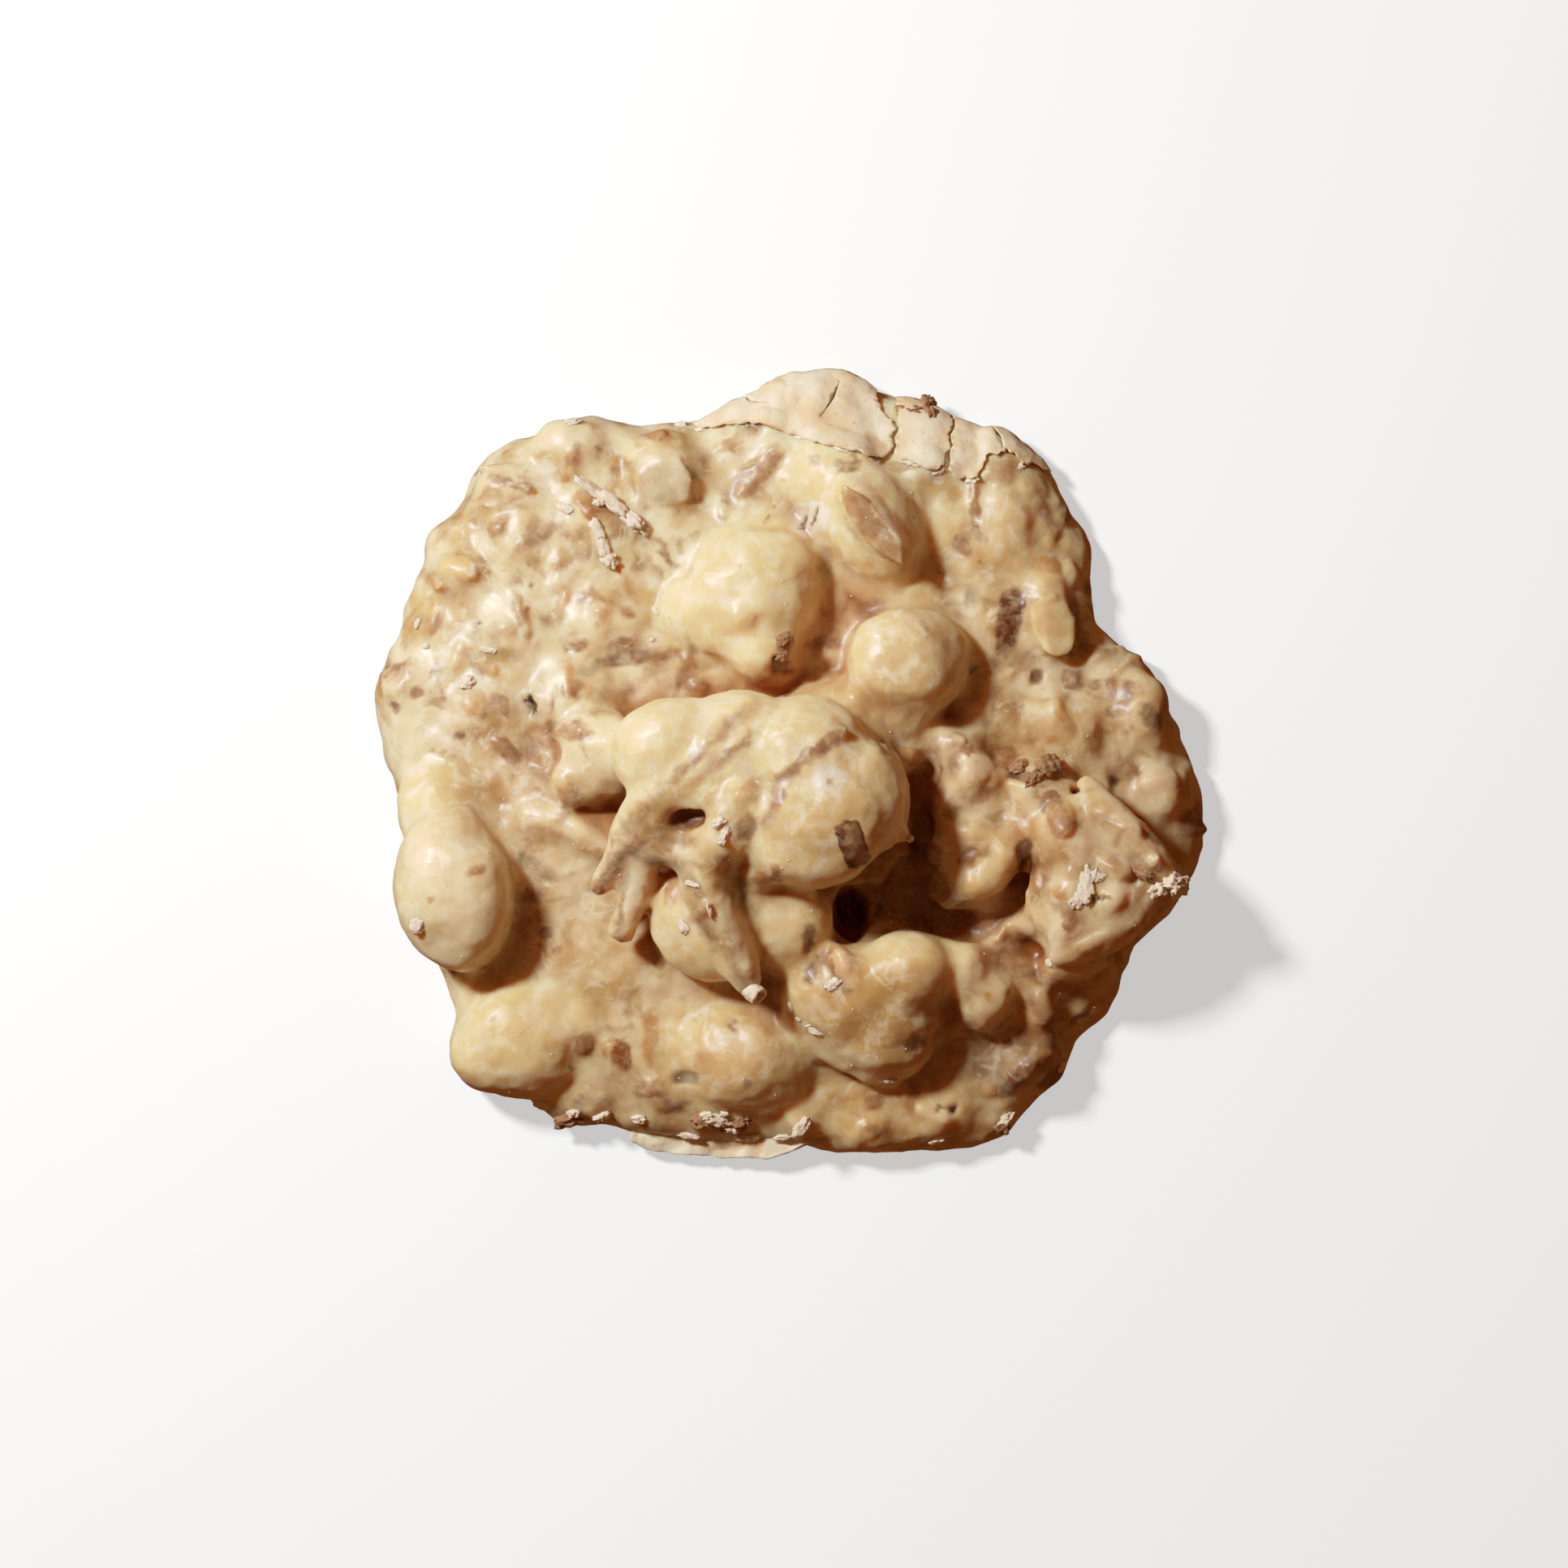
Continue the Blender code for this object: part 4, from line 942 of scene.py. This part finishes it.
# The part of the coat that a plate grows from, pushed off the skin
def crustStock(mesh, rise, seed):
    bm = openMesh(mesh)
    for spot, way in crust["stock"]:
        cutFlat(bm, spot, way)
    bm.normal_update()
    (broad, broadSize), (fine, fineSize) = crust["wave"]
    for vert in bm.verts:
        uneven = broad * noise.noise(vert.co / broadSize + Vector((seed, 0, 0)))
        vert.co += vert.normal * (rise + uneven + fine * noise.noise(vert.co / fineSize))
    return objectFrom(bm, "crustStock")


# A solid wall over an outline seen from above
def addPrism(bm, outline, low, high):
    corners = [bm.verts.new((x, y, low)) for x, y in outline]
    face = bm.faces.new(corners)
    raised = bmesh.ops.extrude_face_region(bm, geom=[face])["geom"]
    bmesh.ops.translate(bm, vec=(0, 0, high - low), verts=only(bmesh.types.BMVert, raised))
    bmesh.ops.recalc_face_normals(bm, faces=bm.faces)


# Dry plates on the rim, cut from the coat's own shape
def buildCrust(mesh):
    rng = random.Random(scatter["seed"])
    rag = crust["rag"]
    bm = bmesh.new()
    for i, (plate, rise) in enumerate(zip(crust["plates"], crust["rise"])):
        piece = crustStock(mesh, rise, i * 9)
        ragged = []
        for (x, y), (nextX, nextY) in zip(plate, plate[1:] + plate[:1]):
            ragged.append((x, y))
            for s in (0.34, 0.67):
                ragged.append((x + (nextX - x) * s + rng.uniform(-rag, rag),
                               y + (nextY - y) * s + rng.uniform(-rag, rag)))
        wall = bmesh.new()
        addPrism(wall, ragged, crust["low"], crust["high"])
        cutOut(piece, wall, "INTERSECT")
        bm.from_mesh(piece.data)
        bpy.data.objects.remove(piece)
    made = objectFrom(bm, "dryCrust")
    for (x, y), (midX, midY), (endX, endY), width in crust["cracks"]:
        slit = bmesh.new()
        around = ((x, y), (midX + width, midY), (endX, endY), (midX - width, midY - width))
        addPrism(slit, around, crust["crackLow"], crust["high"])
        cutOut(made, slit)
    writeShare(made.data, "edge", plateEdge(made.data, crust["plates"]))
    return made


# How near each point of the crust is to a plate's cut edge
def plateEdge(mesh, plates):
    points = readPoints(mesh)
    near = np.full(len(points), 9.0)
    for plate in plates:
        loop = np.array(plate)
        for a, b in zip(loop, np.roll(loop, -1, axis=0)):
            way = b - a
            t = np.clip(((points[:, :2] - a) @ way) / (way @ way), 0, 1)
            gap = np.linalg.norm(points[:, :2] - a - t[:, None] * way, axis=1)
            near = np.minimum(near, gap)
    return np.clip(1 - near / crust["edge"], 0, 1)


# A crumb, chip or flake: its place, its three sizes, turn and tilt in degrees, how rough it is
# and how far it sits off the skin
Crumb = namedtuple("Crumb", "x y length width height turn tilt rough sit", defaults=(0, 0, 0.25, 0.3))

dryCrumbs = [Crumb(*row) for row in (
    # the two dry flakes at the upper left, in frayed lengths, and the crumbs by them
    (-21.4, 29.4, 4.2, 1.3, 0.7, -28, 8, 0.34, 0.9), (-18.9, 27.9, 4, 1.4, 0.8, -40, 4, 0.34, 1),
    (-17, 26.4, 3.2, 1.5, 0.8, -42, -6, 0.34, 0.9), (-15.9, 25.5, 1.6, 1.3, 0.8, -30, -10, 0.5, 0.6),
    (-20.5, 25.4, 2.4, 1.2, 0.7, -60, 6, 0.34, 0.8), (-19.9, 23.7, 2.8, 1.2, 0.7, -74, 0, 0.34, 0.7),
    (-19.2, 22.2, 1.7, 1.5, 0.9, -40, 0, 0.5, 0.6), (-23.9, 27.6, 2.2, 0.9, 0.6, -30, 0, 0.4, 0.6),
    (-20.4, 28.1, 1.3, 0.8, 0.7, 0, 0, 0.5, 0.6), (-23.2, 37, 1.9, 0.8, 0.6, 10, 0, 0.5),
    (-11.7, 36.9, 1.3, 0.7, 0.6, 0, 0, 0.5), (-34.6, 9, 1.7, 1.4, 0.9, 30, 0, 0.4),
    (-32.3, 12.5, 1.9, 0.6, 0.4, -14, 0, 0.4), (-14.3, 16.6, 1.2, 0.5, 0.4, -50, 0, 0.3),
    (-14.7, 13.6, 0.6, 0.5, 0.4), (-39.1, 13, 0.9, 0.7, 0.5), (-40, 15.4, 1.3, 0.6, 0.5, 70),
    # a pale nib on the left nut
    (-39.5, -16.9, 1.9, 1.5, 0.8, 70, 0, 0.2),
    # chips on the pile
    (-7.4, -5.9, 1.5, 0.9, 0.5, 30, 10, 0.5, 0.5), (-6.9, -7.4, 1.9, 0.9, 0.5, 70, 0, 0.5, 0.4),
    (-10.2, -12.4, 1.5, 0.6, 0.4, -20, 0, 0.5, 0.4), (-11.3, -17, 1.6, 1, 0.4, -60, 0, 0.5, 0.2),
    (-8.4, -15.2, 1.9, 0.5, 0.4, -70, 0, 0.5), (12.6, -7.6, 1, 0.8, 0.6, 0, 0, 0.5, 0.4),
    # along the lower edge of the mass at the lower right
    (0.1, -25.7, 1.4, 0.4, 0.3, -76, 0, 0.5), (0.9, -26.9, 0.7, 0.5, 0.3, -30, 0, 0.5),
    (2.7, -28.2, 1.9, 0.6, 0.4, -24, 0, 0.6), (2, -27.6, 0.8, 0.3, 0.3, 20, 0, 0.5),
    (4.6, -23.1, 1.6, 1, 0.6, 30, 0, 0.5), (10.8, -33.6, 1.4, 0.5, 0.4, 0, 0, 0.5),
    # the tall nut
    (31.6, -12.6, 3.4, 1.7, 0.4, 80, 0, 0.6, 0.4), (30.6, -14.2, 1.9, 1.2, 0.35, 50, 0, 0.6, 0.4),
    (32.6, -11.8, 1.8, 1, 0.35, 20, 0, 0.6, 0.4), (40.6, -12.1, 3, 2.2, 1.8, -30, 0, 0.6, 0.6),
    (39, -13, 2, 1.4, 1.2, 40, 0, 0.6, 0.4), (41.4, -11, 1.4, 1, 1.2, 0, 0, 0.6, 0.4),
    (27.9, -21, 1.4, 1, 0.6, 0, 0, 0.4),
    # frayed bits along the crust's lower edge
    (-9.4, 36.4, 1.6, 0.6, 0.3, 10, 0, 0.6), (-5.2, 36.8, 1.3, 0.5, 0.3, 0, 0, 0.6),
    (1.2, 35.3, 1.7, 0.6, 0.3, -20, 0, 0.6), (5.6, 33.9, 1.4, 0.6, 0.3, -14, 0, 0.6),
    (8.8, 32.9, 1.8, 0.7, 0.3, -10, 0, 0.6), (13, 32.5, 1.5, 0.6, 0.3, -20, 0, 0.6),
    (16, 31.7, 1.5, 0.7, 0.3, 20, 0, 0.6), (19.4, 30.7, 1.7, 0.6, 0.3, 0, 0, 0.6),
    (25, 32.3, 1.5, 0.7, 0.3, 30, 0, 0.6), (28.6, 31.6, 1.7, 0.6, 0.3, -10, 0, 0.6),
    # the lower rim
    (-20.2, -37.5, 1.7, 1, 0.8, 20, 0, 0.5, 0.4), (-16.2, -37.9, 1.5, 0.9, 0.7, 0, 0, 0.5, 0.4),
    (-23.2, -37.2, 1.3, 0.9, 0.7, 20, 0, 0.5, 0.4), (-26.7, -36.3, 2.4, 1.5, 0.5, -20, 0, 0.3),
    (-8.8, -37.4, 1.4, 1, 0.7, 0, 0, 0.6, 0.5), (-6.2, -38.9, 1.3, 0.9, 0.7, 0, 0, 0.6, 0.5),
    (-7, -37.2, 0.9, 0.7, 0.6, 0, 0, 0.6, 0.5), (-7.8, -37.9, 2.4, 1.2, 0.7, -12, 0, 0.6, 0.5),
    (1.2, -38.7, 2.6, 1.2, 0.5, 52, 0, 0.5, 0.9), (-0.6, -39.8, 2.2, 0.9, 0.5, 24, 0, 0.5, 0.6),
    (-4.4, -39.9, 2.2, 0.8, 0.4, 6, 0, 0.5, 0.5), (-10.8, -39.7, 2, 0.7, 0.4, -8, 0, 0.5, 0.5),
    (15.8, -40.3, 1.7, 0.7, 0.5, 10, 0, 0.5), (23.3, -38, 2, 1.3, 1, 40, 0, 0.6, 0.4),
    (29.3, -32.3, 1.4, 0.9, 0.6, 60, 0, 0.4), (-39.6, -19.8, 1.5, 0.8, 0.6, -70, 0, 0.4),
)]

toastedCrumbs = [Crumb(*row) for row in (
    (27.6, -0.2, 2.9, 2.3, 1.5, 12, 8, 0.4, 0.5), (26, -1.2, 2.2, 1.4, 1.1, 40, 0, 0.45),
    (24.4, 0, 2.2, 1.3, 0.9, 20, 0, 0.45), (14.7, 38.9, 1.7, 1.3, 1.2, 30, 0, 0.5, 0.7),
    (15, 37.8, 1.1, 2, 1, 10, 0, 0.45, 0.5), (13, 38.2, 2.6, 1.4, 0.8, -10, 0, 0.5),
    (-23.9, -37.9, 3.2, 1.6, 1.2, 20, 0, 0.5, 0.4), (-9.4, -38, 2.2, 1.6, 1, 20, 0, 0.5),
    (-7.4, -38.7, 1.6, 1, 0.7, -20, 0, 0.5), (-5.2, -38.2, 2, 1.5, 1, 40, 0, 0.5),
    (22.8, -38.8, 1.8, 1.3, 1.1, -30, 0, 0.5, 0.4), (37.6, -11.2, 2.4, 1.4, 1, -30, 0, 0.4, 0.4),
    (-0.6, 13.4, 1.7, 1.3, 1.1, 20, 0, 0.4, 0.4), (-0.8, 11.8, 1.5, 1.2, 0.9, 60, 0, 0.4),
)]

crumbs = {
    "upright": 0.3,     # how far they turn from the skin's own way up to level
    "sunk": 0.2,        # share of its height that a crumb sinks in
    "small": 1,         # up to this length it has the second detail
    "detail": (4, 2),
}


# One mesh of crumbs, each set on the skin below its place
def buildCrumbs(mesh, rows, name):
    skin = skinOf(mesh)
    bm = bmesh.new()
    for i, crumb in enumerate(rows):
        hit, normal = dropOn(skin, crumb.x, crumb.y)
        if hit is None:
            continue
        facing = normal.lerp(up, crumbs["upright"]).normalized()
        spot = hit + normal * crumb.height * (crumb.sit - crumbs["sunk"])
        sizes = (crumb.length, crumb.width, crumb.height)
        detail = crumbs["detail"][crumb.length <= crumbs["small"]]
        addBit(bm, spot, facing, sizes, turnOn(facing, crumb.turn), crumb.tilt, crumb.rough, i, detail)
    return objectFrom(bm, name)


# pale grains strewn as dust, which also stand in for glints as painted highlights
def sparkles():
    rng = random.Random(scatter["seed"] + 1)
    wide, tall = scatter["sparkleArea"]
    made = []
    for _ in range(scatter["sparkles"]):
        size = rng.uniform(*scatter["sparkleSize"])
        x = rng.uniform(-wide, wide)
        y = rng.uniform(-tall, tall)
        made.append(Crumb(x, y, size, size * 0.8, size * 0.7, 0, 0, 0.2, 0.5))
    return made


curl = {
    "place": (-3.7, -24.0, 14.4),
    "radius": 1.05,
    "sides": 14,
    "length": 2.4,
    "rings": 3,
    "wall": 0.4,
    "turn": -42,
    "tilt": 62,
    "sunk": 0.7,              # how much of it lies before its place
    "wave": (0.18, 0.8),      # height and size of its waves
}


# The small white tube, open at its end
def buildCurl():
    bm = bmesh.new()
    bmesh.ops.create_circle(bm, segments=curl["sides"], radius=curl["radius"])
    step = curl["length"] / curl["rings"]
    for _ in range(curl["rings"]):
        top = max(v.co.z for v in bm.verts)
        rim = [e for e in bm.edges if all(v.co.z > top - step / 2 for v in e.verts)]
        raised = bmesh.ops.extrude_edge_only(bm, edges=rim)["geom"]
        bmesh.ops.translate(bm, vec=(0, 0, step), verts=only(bmesh.types.BMVert, raised))
    bmesh.ops.subdivide_edges(bm, edges=bm.edges, cuts=2, use_grid_fill=True)
    wave, waveSize = curl["wave"]
    for vert in bm.verts:
        vert.co += noise.noise_vector(vert.co / waveSize) * wave
    place = placeAt(curl["place"], curl["turn"], curl["tilt"])
    back = Matrix.Translation((0, 0, -curl["length"] * curl["sunk"]))
    bmesh.ops.transform(bm, matrix=place @ back, verts=bm.verts)
    bmesh.ops.recalc_face_normals(bm, faces=bm.faces)
    tube = objectFrom(bm, "drapeCurl")
    modify(tube, "SOLIDIFY", thickness=curl["wall"])
    applyModifiers(tube)
    return tube


# A value in a shader: maths on it adds Math nodes
class Value:
    def __init__(self, finish, socket):
        self.finish = finish
        self.socket = socket

    def maths(self, operation, first, second):
        return self.finish.node("Math", {"operation": operation}, {0: first, 1: second})

    def __add__(self, other):
        return self.maths("ADD", self, other)

    def __radd__(self, other):
        return self.maths("ADD", other, self)

    def __sub__(self, other):
        return self.maths("SUBTRACT", self, other)

    def __rsub__(self, other):
        return self.maths("SUBTRACT", other, self)

    def __mul__(self, other):
        return self.maths("MULTIPLY", self, other)

    def __rmul__(self, other):
        return self.maths("MULTIPLY", other, self)


# A material and the few ways that its nodes are made. An input may be a colour's name in the look.
class Finish:
    def __init__(self, name, look=None):
        self.look = look
        self.material = bpy.data.materials.new(name)
        self.material.use_nodes = True
        self.shader = self.material.node_tree.nodes["Principled BSDF"]
        place = self.node("TexCoord", {}, {}, "Object")
        self.place = self.node("VectorMath", {"operation": "SCALE"}, {0: place, "Scale": 1 / mm})

    def node(self, kind, settings, inputs, output=0):
        made = self.material.node_tree.nodes.new("ShaderNode" + kind)
        for name, value in settings.items():
            setattr(made, name, value)
        for key, value in inputs.items():
            self.feed(made.inputs[key], value)
        return Value(self, made.outputs[output])

    def feed(self, socket, value):
        if isinstance(value, Value):
            self.material.node_tree.links.new(value.socket, socket)
        elif isinstance(value, str):
            socket.default_value = shade(*self.look[value])
        else:
            socket.default_value = value

    def set(self, **sockets):
        for name, value in sockets.items():
            self.feed(self.shader.inputs[name.replace("_", " ")], value)

    # noise from 0 to 1, its size in millimetres
    def cloud(self, size, detail=3, roughness=0.5, distortion=0):
        return self.node("TexNoise", {}, {
            "Vector": self.place, "Scale": 1 / size, "Detail": detail,
            "Roughness": roughness, "Distortion": distortion,
        })

    def cells(self, size):
        return self.node("TexVoronoi", {}, {"Vector": self.place, "Scale": 1 / size})

    def blend(self, share, low, high, how="MIX"):
        return self.node("Mix", {"data_type": "RGBA", "blend_type": how}, {0: share, 6: low, 7: high}, 2)

    # fine bumps from a height, how high in metres and how strong
    def bump(self, height, distance, strength):
        return self.node("Bump", {}, {"Height": height, "Distance": distance, "Strength": strength})

    # 0 below low, 1 above high, and smooth between
    def step(self, value, low, high):
        return self.node("MapRange", {"interpolation_type": "SMOOTHSTEP"},
                         {0: value, 1: low, 2: high})

    def share(self, name, output="Fac"):
        return self.node("Attribute", {"attribute_name": name}, {}, output)


coatLook = {
    "cream": (236, 215, 172),
    "tan": (210, 174, 119),
    "smear": (166, 122, 77),
    "butter": (241, 215, 157),
    "curd": (246, 235, 204),
    "milk": (246, 240, 216),
    "hollowShadeTone": (186, 122, 66),    # painted shade that the hollows multiply the coat by
    "awaySideShade": (212, 182, 138),   # painted shade that the side away from the light is multiplied by
}
coatDepth = 0.0034             # metres that light runs under the skin
shadeWay = (0.52, -0.85, 0)    # away from the light


def coatFinish():
    f = Finish("caramelCoat", coatLook)
    nutty = f.share("nut")
    base = f.blend(f.step(f.cloud(6.5, 2, 0.5, 0.4), 0.38, 0.66), "cream", "tan")
    smear = f.step(f.cloud(3.4, 3, 0.5, 0.6), 0.50, 0.72)
    base = f.blend(smear * (1 - nutty * 0.75) * 0.78, base, "smear")
    base = f.blend(nutty * 0.7, base, "butter")
    base = f.blend(f.share("wash", "Alpha"), base, f.share("wash", "Color"))
    curd = f.step(f.cloud(1.9, 4, 0.55, 0.5), 0.42, 0.72)
    base = f.blend(curd * (nutty * 0.25 + 0.38), base, "curd")
    # the bits, whose edges the noise makes ragged and the coat veils in places
    ragged = f.share("toneField") + (f.cloud(1.1, 2, 0.5) - 0.5) * 0.6
    soft = f.share("toneSoft")
    mask = f.step(ragged, soft * -1, soft)
    pale = f.step(f.cloud(0.9, 3, 0.6, 0.4), 0.45, 0.85) * 0.5
    bit = f.blend(pale, f.share("tone", "Color"), "tan")
    veil = f.step(f.cloud(1.4, 3, 0.6, 0.6), 0.36, 0.58) * 0.35 + 0.68
    base = f.blend(mask * f.share("tone", "Alpha") * veil, base, bit)
    milk = f.step(f.cloud(2.3, 5, 0.62, 0.9), 0.57, 0.63)
    base = f.blend(milk * (1 - mask * 0.6) * 0.38, base, "milk")
    # painted shade: the hollows and creases are multiplied darker and browner, and so is the side away from
    # the light
    hollowShade = f.step(f.share("hollowShade"), 0.20, 0.80) * 0.85 + f.step(f.share("crease"), 0.02, 0.25) * 0.55
    base = f.blend(hollowShade, base, "hollowShadeTone", "MULTIPLY")
    # painted shade: the coat grows darker towards the side away from the light
    side = f.node("VectorMath", {"operation": "DOT_PRODUCT"}, {0: f.place, 1: shadeWay}, 1)
    base = f.blend(f.step(side, -18, 34) * 0.36, base, "awaySideShade", "MULTIPLY")
    bump = f.bump(f.cloud(1.1, 3, 0.5) + f.cloud(0.5, 2, 0.6) * 0.4, 0.00012, 0.6)
    f.set(Base_Color=base, Normal=bump, Roughness=f.cloud(1.6, 3) * 0.25 + 0.29, Specular_IOR_Level=0.4)
    f.set(Subsurface_Weight=0.85, Subsurface_Radius=(1.0, 0.42, 0.16), Subsurface_Scale=coatDepth)
    f.set(Coat_Weight=0.10, Coat_Roughness=0.25)
    return f.material


crustLook = {
    "pale": (248, 231, 198),
    "warm": (238, 204, 158),
    "torn": (204, 152, 102),
}


def crustFinish():
    f = Finish("dryCrust", crustLook)
    base = f.blend(f.step(f.cloud(4.2, 3, 0.5, 0.4), 0.40, 0.66), "pale", "warm")
    torn = f.step(f.share("edge") + (f.cloud(0.8, 3, 0.6) - 0.5) * 0.8, 0.75, 1.0)
    base = f.blend(torn * 0.5, base, "torn")
    base = f.blend(f.step(f.cloud(0.7, 2, 0.5), 0.62, 0.72) * 0.4, base, "torn")
    bump = f.bump(f.cloud(0.6, 4, 0.6), 0.00012, 0.7)
    f.set(Base_Color=base, Normal=bump, Roughness=f.cloud(1.2, 3) * 0.3 + 0.5)
    f.set(Subsurface_Weight=0.35, Subsurface_Radius=(1.0, 0.62, 0.40), Subsurface_Scale=0.0009)
    return f.material


dryLook = {"most": (242, 222, 196), "patch": (186, 136, 100)}
toastedLook = {"most": (152, 108, 72), "patch": (208, 170, 128)}


def crumbFinish(name, look):
    f = Finish(name, look)
    base = f.blend(f.step(f.cloud(0.8, 3, 0.6, 0.4), 0.42, 0.66), "most", "patch")
    base = f.blend(f.step(f.cells(0.35), 0.0, 0.25) * 0.25, "most", base)
    bump = f.bump(f.cloud(0.3, 4, 0.6), 0.0001, 0.8)
    f.set(Base_Color=base, Normal=bump, Roughness=f.cloud(0.7, 3) * 0.3 + 0.55)
    f.set(Subsurface_Weight=0.2, Subsurface_Radius=(1.0, 0.6, 0.4), Subsurface_Scale=0.0004)
    return f.material


light = {
    "middle": (-0.0006, -0.00185, 0),   # where the photograph's middle falls
    "field": 0.170,                     # width that the photograph takes in, metres
    "lens": 135,
    "from": (-0.573, 0.417, 0.707),     # towards the main light
    "distance": 0.50,
    "size": 0.070,
    "key": 0.85,                        # share of a white floor's light
    "fill": 0.135,
    "fillTint": (1.0, 0.36, 0.11, 1),
    "floor": 0.78,                      # share that the paper sends back
    "floorGlow": 0.565,
    "floorTint": (0.885, 0.970, 1.0, 1),
    # soft highlights, as film has: what goes in and what comes out
    "shoulder": ((0.52, 0.52), (0.80, 0.71), (1.0, 0.80), (1.4, 1.0)),
}


def buildStage():
    middle = Vector(light["middle"])
    camera = bpy.data.cameras.new("camera")
    camera.lens = light["lens"]
    camera.sensor_width = 36
    view = addObject("camera", camera)
    view.location = middle + up * (light["field"] * camera.lens / camera.sensor_width)
    bpy.context.scene.camera = view

    lamp = bpy.data.lights.new("mainLight", "AREA")
    lamp.shape = "DISK"
    lamp.size = light["size"]
    away = Vector(light["from"]).normalized()
    distance = light["distance"]
    # the power whose light on a level white floor, straight under the middle, is the key share
    lamp.energy = light["key"] * math.pi * math.pi * distance ** 2 / away.z
    shine = addObject("mainLight", lamp)
    shine.location = middle + away * distance
    shine.rotation_mode = "QUATERNION"
    shine.rotation_quaternion = away.to_track_quat("Z", "Y")

    world = bpy.data.worlds.new("studio")
    bpy.context.scene.world = world
    world.use_nodes = True
    sky = world.node_tree.nodes["Background"].inputs
    sky["Color"].default_value = light["fillTint"]
    sky["Strength"].default_value = light["fill"]
    settings = bpy.context.scene.view_settings
    settings.view_transform = "Standard"
    settings.use_curve_mapping = True
    mapping = settings.curve_mapping
    mapping.clip_max_x = 2
    mapping.curves[3].points[1].location = light["shoulder"][-1]
    for place in light["shoulder"][:-1]:
        mapping.curves[3].points.new(*place)
    mapping.update()

    bm = bmesh.new()
    bmesh.ops.create_grid(bm, x_segments=1, y_segments=1, size=3)
    floor = objectFrom(bm, "floor")
    paper = Finish("whitePaper")
    paper.set(Base_Color=(*[light["floor"]] * 3, 1), Roughness=0.9, Specular_IOR_Level=0.1,
              Emission_Color=light["floorTint"], Emission_Strength=light["floorGlow"])
    floor.data.materials.append(paper.material)
    floor.visible_diffuse = False       # the paper's glow isn't to light the praline from below
    floor.visible_glossy = False


noise.seed_set(scatter["seed"])    # noise_vector would follow the clock
buildStage()
coat = buildCoat()
crustPiece = buildCrust(coat.data)
flangePiece = buildFlange()
dry = buildCrumbs(coat.data, dryCrumbs + sparkles(), "dryCrumbs")
toasted = buildCrumbs(coat.data, toastedCrumbs, "toastedCrumbs")
curlPiece = buildCurl()
finishPiece(coat, coatFinish())
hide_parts("praline")
dryPlate = crustFinish()
finishPiece(crustPiece, dryPlate)
finishPiece(flangePiece, dryPlate)
dryCrumb = crumbFinish("dryCrumb", dryLook)
finishPiece(dry, dryCrumb)
finishPiece(curlPiece, dryCrumb)
finishPiece(toasted, crumbFinish("toastedCrumb", toastedLook))
